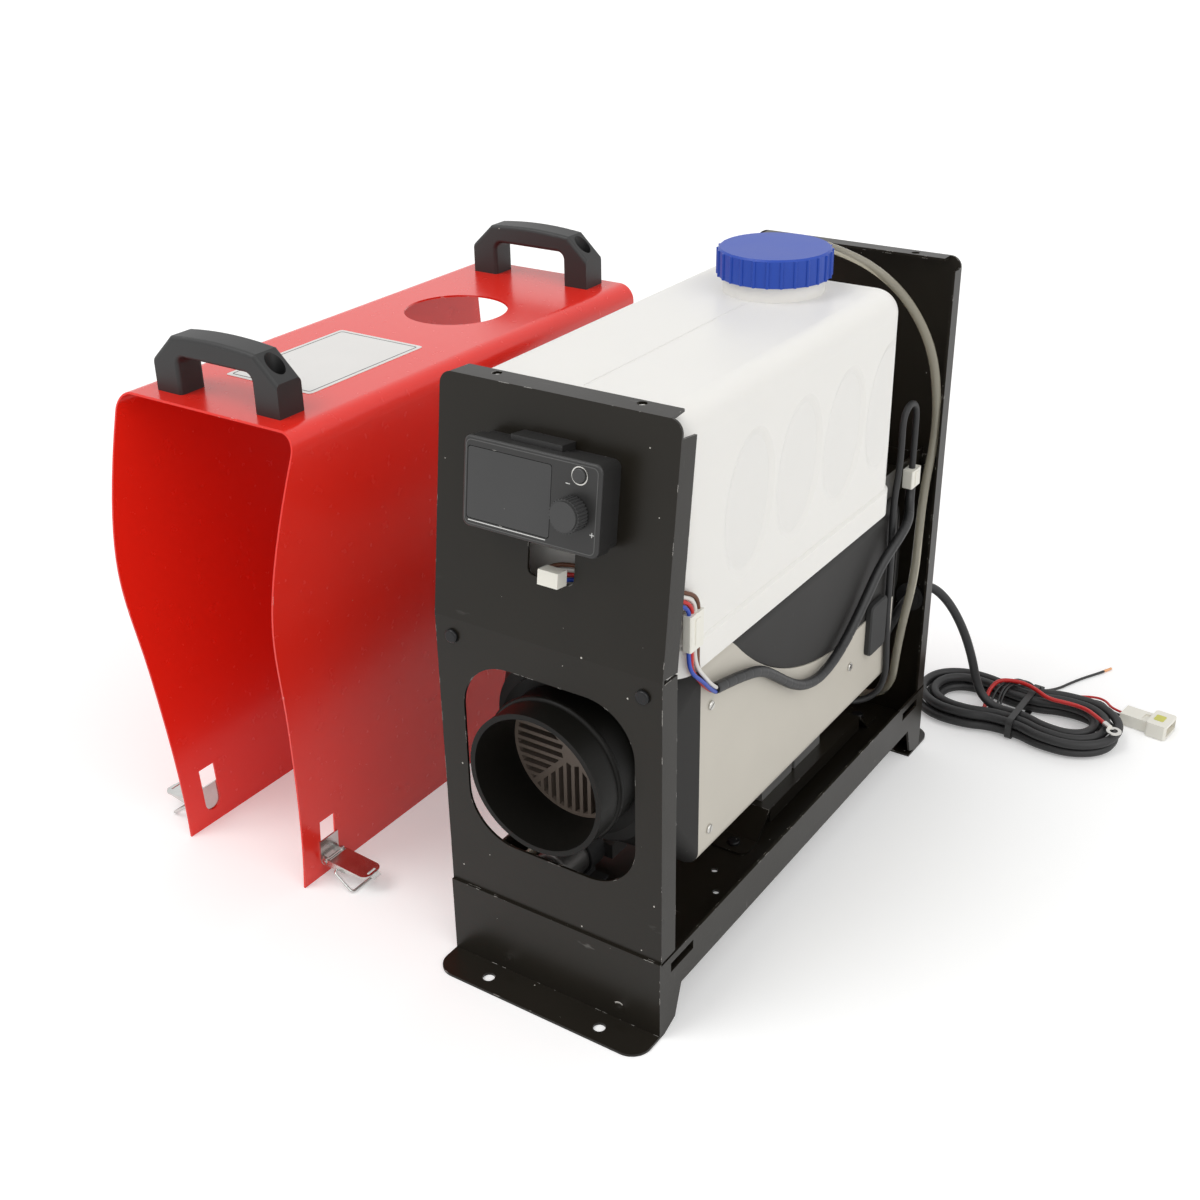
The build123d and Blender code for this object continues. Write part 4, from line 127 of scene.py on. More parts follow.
FINISHES: dict[str, Finish] = {
    finish.name: finish
    for finish in (
        Finish(
            "frame_black", (0.0135, 0.0112, 0.0078), 0.31, grain=Grain.PAINT, drift=0.22, specks=0.55,
            scuffs=0.22, wear=0.85, rough_drift=0.08, specular=0.25,
        ),
        Finish(
            "cover_red", (0.80, 0.017, 0.007), 0.27, grain=Grain.PAINT, drift=0.007, drift_scale=140.0,
            rough_drift=0.012, specks=0.05, speck_colour=(0.75, 0.20, 0.16), wear=0.20,
            wear_colour=(0.80, 0.62, 0.58), coat=0.20,
        ),
        Finish("screw_black", (0.016, 0.016, 0.017), 0.36, metallic=0.55, specks=0.12, wear=0.2),
        Finish(
            "shell_beige", (0.560, 0.525, 0.455), 0.46, grain=Grain.PAINT, drift=0.07, specks=0.16,
            speck_colour=(0.16, 0.14, 0.12), scuffs=0.10, wear=0.15, wear_colour=(0.25, 0.23, 0.20),
        ),
        Finish(
            "shell_dark", (0.018, 0.017, 0.016), 0.58, drift=0.18, specks=0.12, scuffs=0.12, specular=0.35,
        ),
        Finish(
            "collar_black", (0.0060, 0.0056, 0.0046), 0.44, drift=0.15, specks=0.12, scuffs=0.08,
            specular=0.18,
        ),
        Finish("cast_aluminium", (0.56, 0.56, 0.55), 0.50, metallic=1.0, grain=Grain.CAST, drift=0.12),
        Finish("stainless", (0.60, 0.58, 0.55), 0.30, metallic=1.0, grain=Grain.BRUSHED, drift=0.08),
        Finish("motor_zinc", (0.60, 0.61, 0.63), 0.34, metallic=1.0, grain=Grain.BRUSHED, drift=0.10),
        Finish(
            "pump_dull", (0.14, 0.135, 0.13), 0.48, metallic=0.8, grain=Grain.CAST, drift=0.15, specks=0.12,
        ),
        Finish("fan_plastic", (0.030, 0.030, 0.031), 0.48, drift=0.10),
        Finish(
            "board_green", (0.020, 0.150, 0.055), 0.38, drift=0.16, specks=0.3,
            speck_colour=(0.6, 0.55, 0.3),
        ),
        Finish(
            "tank_white", (0.850, 0.832, 0.790), 0.36, grain=Grain.BLOWN, drift=0.035, drift_scale=9.0,
            specks=0.03, speck_colour=(0.45, 0.42, 0.36), subsurface=0.18,
        ),
        Finish(
            "cap_blue", (0.014, 0.062, 0.40), 0.38, drift=0.10, scuffs=0.16,
            scuff_colour=(0.20, 0.30, 0.62), specular=0.36,
        ),
        Finish("liner_rubber", (0.025, 0.025, 0.025), 0.72, grain=Grain.RUBBER),
        Finish("fitting_white", (0.78, 0.78, 0.74), 0.42, drift=0.05, subsurface=0.10),
        Finish(
            "hose_clear", (0.60, 0.565, 0.455), 0.12, grain=Grain.NONE, drift=0.10, transmission=0.62,
            ior=1.42,
        ),
        Finish("grille_grey", (0.175, 0.138, 0.112), 0.50, grain=Grain.CAST, drift=0.20, specks=0.15),
        Finish("rubber_black", (0.018, 0.018, 0.018), 0.68, grain=Grain.RUBBER, specks=0.10),
        Finish(
            "filter_clear", (0.80, 0.80, 0.76), 0.12, grain=Grain.NONE, drift=0.04, transmission=0.85,
            ior=1.46,
        ),
        Finish(
            "controller_black", (0.0195, 0.0190, 0.0185), 0.42, drift=0.14, specks=0.22, scuffs=0.10,
            wear=0.10,
        ),
        Finish(
            "screen_dark", (0.036, 0.036, 0.036), 0.24, grain=Grain.NONE, drift=0.20, specks=0.55,
            speck_colour=(0.17, 0.165, 0.155), speck_scale=420.0, scuffs=0.45,
            scuff_colour=(0.085, 0.083, 0.080), rough_drift=0.14,
        ),
        Finish("knob_black", (0.040, 0.040, 0.040), 0.46, drift=0.12, specks=0.16),
        Finish("connector_white", (0.83, 0.81, 0.73), 0.38, drift=0.06, subsurface=0.10),
        Finish("sleeve_black", (0.0145, 0.0145, 0.0150), 0.55, grain=Grain.SLEEVE, drift=0.16, specks=0.16),
        Finish("tape_black", (0.0125, 0.0125, 0.0130), 0.44, grain=Grain.TAPE, drift=0.22, specks=0.14),
        Finish("wire_red", (0.56, 0.016, 0.014), 0.38, drift=0.08),
        Finish("wire_black", (0.012, 0.012, 0.012), 0.42, drift=0.10),
        Finish("wire_blue", (0.020, 0.065, 0.42), 0.40, drift=0.08),
        Finish("wire_white", (0.72, 0.70, 0.66), 0.42, drift=0.05),
        Finish("wire_brown", (0.130, 0.045, 0.018), 0.42, drift=0.08),
        Finish("terminal_tin", (0.62, 0.61, 0.58), 0.30, metallic=1.0, grain=Grain.BRUSHED, drift=0.12),
        Finish("handle_black", (0.0165, 0.0165, 0.0165), 0.50, drift=0.12, specks=0.18, scuffs=0.10),
        Finish(
            "latch_steel", (0.60, 0.60, 0.585), 0.24, metallic=1.0, grain=Grain.CAST, drift=0.26,
            drift_scale=90.0, scuffs=0.30, scuff_colour=(0.22, 0.22, 0.21),
        ),
        Finish("screw_steel", (0.62, 0.61, 0.58), 0.28, metallic=1.0, grain=Grain.BRUSHED, drift=0.12),
        # Light grey of the raised line round the controller's face: a painted highlight where the flat face
        # turns into its fillet.
        Finish("rim_grey", (0.090, 0.090, 0.088), 0.45, drift=0.10),
        Finish("printing_white", (0.66, 0.66, 0.64), 0.50, drift=0.08, grain=Grain.PAINT),
        Finish(
            "blank_plate", (0.76, 0.745, 0.72), 0.42, drift=0.05, specks=0.10,
            speck_colour=(0.30, 0.28, 0.26),
        ),
        Finish("plate_line", (0.060, 0.058, 0.055), 0.45, drift=0.12),
        Finish("lock_yellow", (0.62, 0.60, 0.12), 0.42, drift=0.08, subsurface=0.10),
        Finish("contact_brass", (0.80, 0.58, 0.22), 0.28, metallic=1.0, grain=Grain.BRUSHED),
    )
}

# CAD nodes with a finish of their own, where their record slot's is too bright.
OWN_FINISH = {"fuel_pump": "pump_dull"}


class EffectGroups:
    """Shader node groups that the finishes share, each built once.

    Flecks are measured in cells of their pattern. A level is how high the noise must
    be where an amount is 0, and a gain is how far a full amount lowers it. A slope and
    a start are the straight line that turns a value into a mask.
    """

    FLECK_SHARE = 0.10
    FLECK_SMALLEST = 0.035
    FLECK_SPREAD = 0.11
    SCUFF_TURN = (0.5, 0.35, 0.8)
    SCUFF_STRETCH = (1.0, 22.0, 3.0)
    SCUFF_SCALE = 26.0
    SCUFF_LEVEL = 0.74
    SCUFF_GAIN = 0.16
    SCUFF_SHARPNESS = 9.0
    PATCH_SCALE = 9.0
    PATCH_SLOPE = 5.0
    PATCH_START = -2.2
    EDGE_REACH = 0.0006
    EDGE_SLOPE = -14.0
    EDGE_START = 13.6
    NICK_SCALE = 130.0
    NICK_LEVEL = 0.70
    NICK_GAIN = 0.12
    NICK_SHARPNESS = 30.0

    def __init__(self) -> None:
        """Builds the groups."""
        self.drift = self._drift()
        self.grain = self._grain()
        self.specks = self._specks()
        self.scuffs = self._scuffs()
        self.wear = self._wear()

    @staticmethod
    def _new(name: str, inputs: Sequence[str], outputs: Sequence[str]) -> tuple[Tree, Node, Node]:
        """Makes an empty group. Its sockets are numbers, save Vector and Color.

        Args:
            name: The group's name.
            inputs: Names of its inputs.
            outputs: Names of its outputs.

        Returns:
            The tree, its input node and its output node.
        """
        tree = bpy.data.node_groups.new(name, "ShaderNodeTree")
        kinds = {"Vector": "NodeSocketVector", "Color": "NodeSocketColor"}
        for way, labels in (("INPUT", inputs), ("OUTPUT", outputs)):
            for label in labels:
                kind = kinds.get(label, "NodeSocketFloat")
                tree.interface.new_socket(label, in_out=way, socket_type=kind)
        return tree, tree.nodes.new("NodeGroupInput"), tree.nodes.new("NodeGroupOutput")

    def _drift(self) -> Tree:
        """Slow change of tone and of roughness over the surface.

        Returns:
            The group, which puts out a colour and a roughness.
        """
        tree, source, target = self._new(
            "tone_drift",
            ("Vector", "Color", "Amount", "Scale", "Roughness", "Roughness Drift"),
            ("Color", "Roughness"),
        )
        noise = add_node(tree, "ShaderNodeTexNoise", Detail=5.0)
        swing = maths(tree, "MULTIPLY_ADD", noise.outputs["Fac"], 2.0, -1.0)
        tone = maths(tree, "MULTIPLY_ADD", swing, source.outputs["Amount"], 1.0)
        rough_drift, rough_mean = source.outputs["Roughness Drift"], source.outputs["Roughness"]
        rough = maths(tree, "MULTIPLY_ADD", swing, rough_drift, rough_mean)
        shade = add_node(tree, "ShaderNodeHueSaturation")
        join(tree, source.outputs["Vector"], noise.inputs["Vector"])
        join(tree, source.outputs["Scale"], noise.inputs["Scale"])
        join(tree, source.outputs["Color"], shade.inputs["Color"])
        join(tree, tone, shade.inputs["Value"])
        join(tree, shade.outputs["Color"], target.inputs["Color"])
        join(tree, rough, target.inputs["Roughness"])
        return tree

    def _grain(self) -> Tree:
        """Fine relief of a surface.

        Returns:
            The group, which puts out a height in metres.
        """
        tree, source, target = self._new("fine_grain", ("Vector", "Scale", "Depth"), ("Height",))
        noise = add_node(tree, "ShaderNodeTexNoise", Detail=2.0)
        height = maths(tree, "MULTIPLY", noise.outputs["Fac"], source.outputs["Depth"])
        join(tree, source.outputs["Vector"], noise.inputs["Vector"])
        join(tree, source.outputs["Scale"], noise.inputs["Scale"])
        join(tree, height, target.inputs["Height"])
        return tree

    def _specks(self) -> Tree:
        """Sparse small flecks of dust and chips, of uneven size.

        Returns:
            The group, which puts out their mask.
        """
        tree, source, target = self._new("fleck_mask", ("Vector", "Scale", "Amount"), ("Mask",))
        cells = add_node(tree, "ShaderNodeTexVoronoi")
        split = add_node(tree, "ShaderNodeSeparateColor")
        rarity = maths(tree, "MULTIPLY_ADD", source.outputs["Amount"], -self.FLECK_SHARE, 1.0)
        chosen = maths(tree, "GREATER_THAN", split.outputs["Red"], rarity)
        spread = maths(tree, "POWER", split.outputs["Green"], 3.0)
        reach = maths(tree, "MULTIPLY_ADD", spread, self.FLECK_SPREAD, self.FLECK_SMALLEST)
        near = maths(tree, "LESS_THAN", cells.outputs["Distance"], reach)
        mask = maths(tree, "MULTIPLY", chosen, near)
        join(tree, source.outputs["Vector"], cells.inputs["Vector"])
        join(tree, source.outputs["Scale"], cells.inputs["Scale"])
        join(tree, cells.outputs["Color"], split.inputs["Color"])
        join(tree, mask, target.inputs["Mask"])
        return tree

    def _scuffs(self) -> Tree:
        """Long thin rubs that run mostly one way.

        Returns:
            The group, which puts out their mask.
        """
        tree, source, target = self._new("scuff_mask", ("Vector", "Amount"), ("Mask",))
        stretch = add_node(tree, "ShaderNodeMapping", Rotation=self.SCUFF_TURN, Scale=self.SCUFF_STRETCH)
        lines = add_node(tree, "ShaderNodeTexNoise", Scale=self.SCUFF_SCALE, Detail=4.0)
        patches = add_node(tree, "ShaderNodeTexNoise", Scale=self.PATCH_SCALE, Detail=2.0)
        low = maths(tree, "MULTIPLY_ADD", source.outputs["Amount"], -self.SCUFF_GAIN, self.SCUFF_LEVEL)
        thin = maths(tree, "SUBTRACT", lines.outputs["Fac"], low)
        sharp = maths(tree, "MULTIPLY", thin, self.SCUFF_SHARPNESS, clamp=True)
        slope, start = self.PATCH_SLOPE, self.PATCH_START
        gate = maths(tree, "MULTIPLY_ADD", patches.outputs["Fac"], slope, start, clamp=True)
        mask = maths(tree, "MULTIPLY", sharp, gate)
        join(tree, source.outputs["Vector"], stretch.inputs["Vector"])
        join(tree, stretch.outputs["Vector"], lines.inputs["Vector"])
        join(tree, source.outputs["Vector"], patches.inputs["Vector"])
        join(tree, mask, target.inputs["Mask"])
        return tree

    def _wear(self) -> Tree:
        """Nicks in the paint along edges, where the bevelled normal leaves the real one.

        Returns:
            The group, which puts out their mask.
        """
        tree, source, target = self._new("edge_nicks", ("Vector", "Amount"), ("Mask",))
        bevel = add_node(tree, "ShaderNodeBevel", Radius=self.EDGE_REACH)
        bevel.samples = 4
        surface = add_node(tree, "ShaderNodeNewGeometry")
        dot = add_node(tree, "ShaderNodeVectorMath")
        dot.operation = "DOT_PRODUCT"
        slope, start = self.EDGE_SLOPE, self.EDGE_START
        edge = maths(tree, "MULTIPLY_ADD", dot.outputs["Value"], slope, start, clamp=True)
        noise = add_node(tree, "ShaderNodeTexNoise", Scale=self.NICK_SCALE, Detail=4.0)
        low = maths(tree, "MULTIPLY_ADD", source.outputs["Amount"], -self.NICK_GAIN, self.NICK_LEVEL)
        chip = maths(tree, "SUBTRACT", noise.outputs["Fac"], low)
        chips = maths(tree, "MULTIPLY", chip, self.NICK_SHARPNESS, clamp=True)
        mask = maths(tree, "MULTIPLY", edge, chips)
        join(tree, source.outputs["Vector"], noise.inputs["Vector"])
        join(tree, bevel.outputs["Normal"], dot.inputs[0])
        join(tree, surface.outputs["Normal"], dot.inputs[1])
        join(tree, mask, target.inputs["Mask"])
        return tree


def add_node(tree: Tree, kind: str, **values: float | Sequence[float]) -> Node:
    """Adds a node and sets its inputs.

    Args:
        tree: The tree that gets the node.
        kind: The node's type name.
        **values: Input values by socket name.

    Returns:
        The new node.
    """
    node = tree.nodes.new(kind)
    for label, value in values.items():
        node.inputs[label].default_value = value
    return node


def join(tree: Tree, source: Socket, target: Socket) -> None:
    """Links an output to an input."""
    tree.links.new(source, target)


def maths(tree: Tree, operation: str, *terms: Socket | float, clamp: bool = False) -> Socket:
    """Adds a Math node.

    Args:
        tree: The tree that gets the node.
        operation: The node's operation.
        *terms: Its inputs, each a socket to link or a number.
        clamp: True to keep the result between 0 and 1.

    Returns:
        The node's output.
    """
    node = tree.nodes.new("ShaderNodeMath")
    node.operation = operation
    node.use_clamp = clamp
    for place, term in enumerate(terms):
        if isinstance(term, (int, float)):
            node.inputs[place].default_value = term
        else:
            join(tree, term, node.inputs[place])
    return node.outputs[0]


def blend_colour(tree: Tree, mask: Socket, under: Socket, over: Colour) -> Socket:
    """Puts a colour over another where a mask is white.

    Args:
        tree: The tree that gets the node.
        mask: Where the colour goes.
        under: The colour below.
        over: The colour on top.

    Returns:
        The mixed colour.
    """
    share, first, second, result = 0, 6, 7, 2  # a Mix node's sockets when it mixes colours
    mix = tree.nodes.new("ShaderNodeMix")
    mix.data_type = "RGBA"
    mix.inputs[second].default_value = (*over, 1.0)
    join(tree, mask, mix.inputs[share])
    join(tree, under, mix.inputs[first])
    return mix.outputs[result]


@dataclass(frozen=True)
class Band:
    """A stretch of a wire that looks different: where it is and what it shows.

    The stretch is where the coordinate on the axis, in millimetres, is above the
    limit, or below it when above is False.
    """

    axis: str
    limit: float
    above: bool
    colour: Colour
    metallic: bool = False


class PaintShop:
    """Makes each finish's material once and hands it out."""

    COAT_ROUGHNESS = 0.12
    SCATTER_DEPTH = 0.006
    SCATTER_TINT = (1.0, 0.95, 0.85)
    SCUFF_DULLING = 0.25
    RELIEF = 0.6

    def __init__(self) -> None:
        """Builds the shared effects."""
        self.effects = EffectGroups()
        self.made: dict[str, bpy.types.Material] = {}

    def material(self, name: str, band: Band | None = None) -> bpy.types.Material:
        """Gives the material of a finish.

        Args:
            name: The finish's name.
            band: A stretch that looks different, for a wire with two looks.

        Returns:
            The material, made on first use.
        """
        label = name if band is None else f"{name}_{band.axis}_{band.limit:.0f}"
        if label not in self.made:
            self.made[label] = self._mix(label, FINISHES[name], band)
        return self.made[label]

    @staticmethod
    def _group(tree: Tree, group: Tree, vector: Socket, **values: float) -> Node:
        """Places a shared effect in a material.

        Args:
            tree: The material's tree.
            group: The effect.
            vector: Where on the piece the surface is.
            **values: The effect's values by input name.

        Returns:
            The group's node.
        """
        node = tree.nodes.new("ShaderNodeGroup")
        node.node_tree = group
        join(tree, vector, node.inputs["Vector"])
        for label, value in values.items():
            node.inputs[label].default_value = value
        return node

    def _mix(self, label: str, finish: Finish, band: Band | None) -> bpy.types.Material:
        """Builds the material of one finish.

        Args:
            label: The material's name.
            finish: Its plain values and amounts.
            band: A stretch that looks different.

        Returns:
            The material.
        """
        material = bpy.data.materials.new(label)
        material.use_nodes = True
        tree = material.node_tree
        shader = tree.nodes["Principled BSDF"]
        place = tree.nodes.new("ShaderNodeTexCoord").outputs["Object"]
        drift = self._group(tree, self.effects.drift, place, Amount=finish.drift, Scale=finish.drift_scale)
        drift.inputs["Color"].default_value = (*finish.colour, 1.0)
        drift.inputs["Roughness"].default_value = finish.roughness
        drift.inputs["Roughness Drift"].default_value = finish.rough_drift
        colour, rough = drift.outputs["Color"], drift.outputs["Roughness"]
        if finish.scuffs:
            mask = self._group(tree, self.effects.scuffs, place, Amount=finish.scuffs).outputs["Mask"]
            colour = blend_colour(tree, mask, colour, finish.scuff_colour)
            rough = maths(tree, "MULTIPLY_ADD", mask, self.SCUFF_DULLING, rough)
        if finish.specks:
            values = {"Amount": finish.specks, "Scale": finish.speck_scale}
            specks = self._group(tree, self.effects.specks, place, **values)
            colour = blend_colour(tree, specks.outputs["Mask"], colour, finish.speck_colour)
        if finish.wear:
            mask = self._group(tree, self.effects.wear, place, Amount=finish.wear).outputs["Mask"]
            colour = blend_colour(tree, mask, colour, finish.wear_colour)
        plain = {
            "Metallic": finish.metallic, "IOR": finish.ior, "Specular IOR Level": finish.specular,
            "Coat Weight": finish.coat, "Coat Roughness": self.COAT_ROUGHNESS,
            "Transmission Weight": finish.transmission, "Subsurface Weight": finish.subsurface,
            "Subsurface Scale": self.SCATTER_DEPTH, "Subsurface Radius": self.SCATTER_TINT,
        }
        for socket, value in plain.items():
            shader.inputs[socket].default_value = value
        if band is not None:
            axes = tree.nodes.new("ShaderNodeSeparateXYZ")
            join(tree, place, axes.inputs["Vector"])
            test = "GREATER_THAN" if band.above else "LESS_THAN"
            mask = maths(tree, test, axes.outputs[band.axis], band.limit * MM)
            colour = blend_colour(tree, mask, colour, band.colour)
            if band.metallic:
                join(tree, mask, shader.inputs["Metallic"])
        join(tree, colour, shader.inputs["Base Color"])
        join(tree, rough, shader.inputs["Roughness"])
        scale, depth = finish.grain.value
        if depth:
            grain = self._group(tree, self.effects.grain, place, Scale=scale, Depth=depth)
            bump = add_node(tree, "ShaderNodeBump", Strength=self.RELIEF, Distance=1.0)
            join(tree, grain.outputs["Height"], bump.inputs["Height"])
            join(tree, bump.outputs["Normal"], shader.inputs["Normal"])
        return material


# ================================================================== making pieces
@dataclass(frozen=True)
class Tag:
    """What a new piece belongs to: its body, its record slot, and its finish."""

    body: str
    slot: str
    finish: str = ""

    @property
    def look(self) -> str:
        """Name of the finish, which is the slot's own unless another is given."""
        return self.finish or self.slot


def metres(points: Iterable[Sequence[float]]) -> list[Vector]:
    """Turns millimetre points into vectors in metres."""
    return [Vector(point) * MM for point in points]


def basis(normal: Sequence[float], up: Sequence[float] = (0.0, 0.0, 1.0)) -> Matrix:
    """Frame of a flat face.

    Args:
        normal: Direction out of the face, its local Z.
        up: Direction that local Y leans to.

    Returns:
        A rotation whose columns are the face's own X, Y and Z.
    """
    out = Vector(normal).normalized()
    along = Vector(up).cross(out)
    if along.length < 1e-6:
        along = Vector((1.0, 0.0, 0.0))
    along.normalize()
    return Matrix((along, out.cross(along), out)).transposed()


class Bench:
    """Makes mesh and curve pieces and hands each its body and finish."""

    SPLINE_STEPS = 10
    SECTION_STEPS = 5

    def __init__(self, shop: PaintShop) -> None:
        """Keeps the paint shop at hand.

        Args:
            shop: Where materials come from.
        """
        self.shop = shop

    def enrol(self, piece: bpy.types.Object, tag: Tag, band: Band | None = None) -> bpy.types.Object:
        """Gives a new piece its body and material, and reports it.

        Args:
            piece: The new object.
            tag: What it belongs to.
            band: A stretch that looks different.

        Returns:
            The piece.
        """
        piece.data.materials.append(self.shop.material(tag.look, band))
        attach(piece, tag.body)
        LOG.info("piece %s rides on %s, finish %s", piece.name, tag.body, tag.look)
        return piece

    def mesh(self, name: str, build: Build, tag: Tag, crease: float = 32.0) -> bpy.types.Object:
        """Turns built geometry into a shaded piece.

        Args:
            name: The piece's name.
            build: Its geometry, in metres. It is freed here.
            tag: What it belongs to.
            crease: Angle in degrees above which an edge stays sharp.

        Returns:
            The piece.
        """
        bmesh.ops.recalc_face_normals(build, faces=build.faces)
        data = bpy.data.meshes.new(name)
        build.to_mesh(data)
        build.free()
        data.shade_smooth()
        data.set_sharp_from_angle(angle=math.radians(crease))
        piece = bpy.data.objects.new(name, data)
        bpy.context.scene.collection.objects.link(piece)
        return self.enrol(piece, tag)

    def spline(self, name: str, route: Sequence[Vector], radius: float) -> bpy.types.Object:
        """Makes one open smooth spline through its control points.

        Args:
            name: The object's name.
            route: Control points in metres.
            radius: The round section's radius in metres, or 0 for the bare line.

        Returns:
            The curve object, linked to the scene.
        """
        data = bpy.data.curves.new(name, "CURVE")
        data.dimensions = "3D"
        data.resolution_u = self.SPLINE_STEPS
        data.bevel_depth = radius
        data.bevel_resolution = self.SECTION_STEPS
        data.use_fill_caps = True
        line = data.splines.new("NURBS")
        line.points.add(len(route) - 1)
        for knot, place in zip(line.points, route, strict=True):
            knot.co = (*place, 1.0)
        line.order_u = 3
        line.use_endpoint_u = True
        piece = bpy.data.objects.new(name, data)
        bpy.context.scene.collection.objects.link(piece)
        return piece

    def centreline(self, route: Sequence[Vector]) -> list[Vector]:
        """Reads the smooth line of a route from its spline.

        Args:
            route: Control points in metres.

        Returns:
            Points along the line, in order.
        """
        ghost = self.spline("centreline", route, 0.0)
        bpy.context.view_layer.update()
        data = bpy.data.meshes.new_from_object(ghost)
        points = [vertex.co.copy() for vertex in data.vertices]
        curve = ghost.data
        bpy.data.objects.remove(ghost)
        bpy.data.curves.remove(curve)
        bpy.data.meshes.remove(data)
        if (points[0] - route[0]).length > (points[-1] - route[0]).length:
            points.reverse()
        return points


def line_length(line: Sequence[Vector]) -> float:
    """Adds up the runs of a line."""
    return sum((second - first).length for first, second in zip(line, line[1:]))


def even_steps(
    line: Sequence[Vector], step: float, start: float = 0.0, end: float | None = None
) -> list[Vector]:
    """Walks a line in equal steps.

    Args:
        line: Points of the line.
        step: Wanted step in metres.
        start: Distance along the line where the walk begins.
        end: Distance where it ends, or None for the line's end.

    Returns:
        Points at equal distances along the line.
    """
    travelled = [0.0]
    for first, second in zip(line, line[1:]):
        travelled.append(travelled[-1] + (second - first).length)
    stop = travelled[-1] if end is None else min(end, travelled[-1])
    count = max(2, round((stop - start) / step))
    walk, index = [], 0
    for number in range(count + 1):
        goal = start + (stop - start) * number / count
        while index < len(line) - 2 and travelled[index + 1] < goal:
            index += 1
        run = travelled[index + 1] - travelled[index]
        share = 0.0 if run == 0 else (goal - travelled[index]) / run
        walk.append(line[index].lerp(line[index + 1], min(max(share, 0.0), 1.0)))
    return walk


def circle(radius: float, sides: int) -> list[Flat]:
    """Points of a circle round the origin."""
    turns = [2 * math.pi * corner / sides for corner in range(sides)]
    return [(radius * math.cos(t), radius * math.sin(t)) for t in turns]


def bridge(build: Build, first: Sequence[Corner], second: Sequence[Corner]) -> None:
    """Joins two closed rings of points with a band of faces.

    Args:
        build: Where the faces go.
        first: One ring.
        second: The next ring, with as many points.
    """
    for corner, (here, there) in enumerate(zip(first, second, strict=True)):
        after = (corner + 1) % len(first)
        build.faces.new((here, first[after], second[after], there))


def tube(line: Sequence[Vector], radius: Callable[[float], float], sides: int = 20) -> Build:
    """Skin of a round body that follows a line.

    Args:
        line: Points of the centreline, in metres.
        radius: Radius in metres at each share of the line, from 0 to 1.
        sides: Number of points round the section.

    Returns:
        A closed tube.
    """
    build = bmesh.new()
    across = Vector((0.0, 0.0, 1.0))
    rings = []
    last = len(line) - 1
    for number, place in enumerate(line):
        ahead = (line[min(number + 1, last)] - line[max(number - 1, 0)]).normalized()
        across = across - ahead * across.dot(ahead)
        if across.length < 1e-4:
            across = ahead.orthogonal()
        across.normalize()
        side = ahead.cross(across)
        size = radius(number / last)
        section = circle(1.0, sides)
        rings.append([build.verts.new(place + (across * x + side * y) * size) for x, y in section])
    for ring, following in zip(rings, rings[1:]):
        bridge(build, ring, following)
    build.faces.new(rings[0][::-1])
    build.faces.new(rings[-1])
    return build


def lathe(
    build: Build,
    profile: Sequence[Flat],
    centre: Sequence[float],
    normal: Sequence[float],
    sides: int = 32,
    hexed: int = 0,
) -> None:
    """Adds a turned body.

    Args:
        build: Where it goes.
        profile: Radius and height of each ring, in millimetres, from first to last.
        centre: The foot of its axis, in millimetres.
        normal: The axis, from the foot up.
        sides: Points round it.
        hexed: Number of last rings that are six-sided, for a hex socket.
    """
    turn = basis(normal)
    foot = Vector(centre)
    flat = math.pi / 3  # the angle that one side of a hexagon takes up
    rings = []
    for number, (radius, height) in enumerate(profile):
        ring = []
        for corner in range(sides):
            angle = 2 * math.pi * corner / sides
            size = radius
            if number >= len(profile) - hexed:
                size = radius / math.cos((angle + flat / 2) % flat - flat / 2)
            local = Vector((math.cos(angle) * size, math.sin(angle) * size, height))
            ring.append(build.verts.new((foot + turn @ local) * MM))
        rings.append(ring)
    for ring, following in zip(rings, rings[1:]):
        bridge(build, ring, following)
    build.faces.new(rings[0][::-1])
    build.faces.new(rings[-1])


def prism(
    build: Build,
    outline: Sequence[Flat],
    place: Callable[[float, float, float], Vector],
    low: float,
    high: float,
    hole: Sequence[Flat] = (),
) -> None:
    """Adds a plate with straight sides, with one hole when one is given.

    Args:
        build: Where it goes.
        outline: The outer outline in millimetres.
        place: Turns local x, y and height into a point in metres.
        low: Height of its underside.
        high: Height of its top.
        hole: The hole's outline, with as many points as the outer one.
    """
    bottom = [build.verts.new(place(x, y, low)) for x, y in outline]
    top = [build.verts.new(place(x, y, high)) for x, y in outline]
    bridge(build, bottom, top)
    if not hole:
        build.faces.new(bottom[::-1])
        build.faces.new(top)
        return
    inner_low = [build.verts.new(place(x, y, low)) for x, y in hole]
    inner_top = [build.verts.new(place(x, y, high)) for x, y in hole]
    bridge(build, inner_top, inner_low)
    bridge(build, top, inner_top)
    bridge(build, inner_low, bottom)


def rounded(x: float, y: float, width: float, height: float, radius: float) -> list[Flat]:
    """Outline of a rectangle with round corners.

    Args:
        x: Centre across.
        y: Centre up.
        width: Full width.
        height: Full height.
        radius: Corner radius.

    Returns:
        The outline's points, anticlockwise.
    """
    outline = []
    steps = 5
    for quarter, (sx, sy) in enumerate(((1, 1), (-1, 1), (-1, -1), (1, -1))):
        for step in range(steps + 1):
            angle = math.pi / 2 * (quarter + step / steps)
            cx, cy = x + sx * (width / 2 - radius), y + sy * (height / 2 - radius)
            outline.append((cx + radius * math.cos(angle), cy + radius * math.sin(angle)))
    return outline


def disc(x: float, y: float, radius: float, sides: int = 40) -> list[Flat]:
    """Outline of a circle round a point."""
    return [(x + across, y + up) for across, up in circle(radius, sides)]


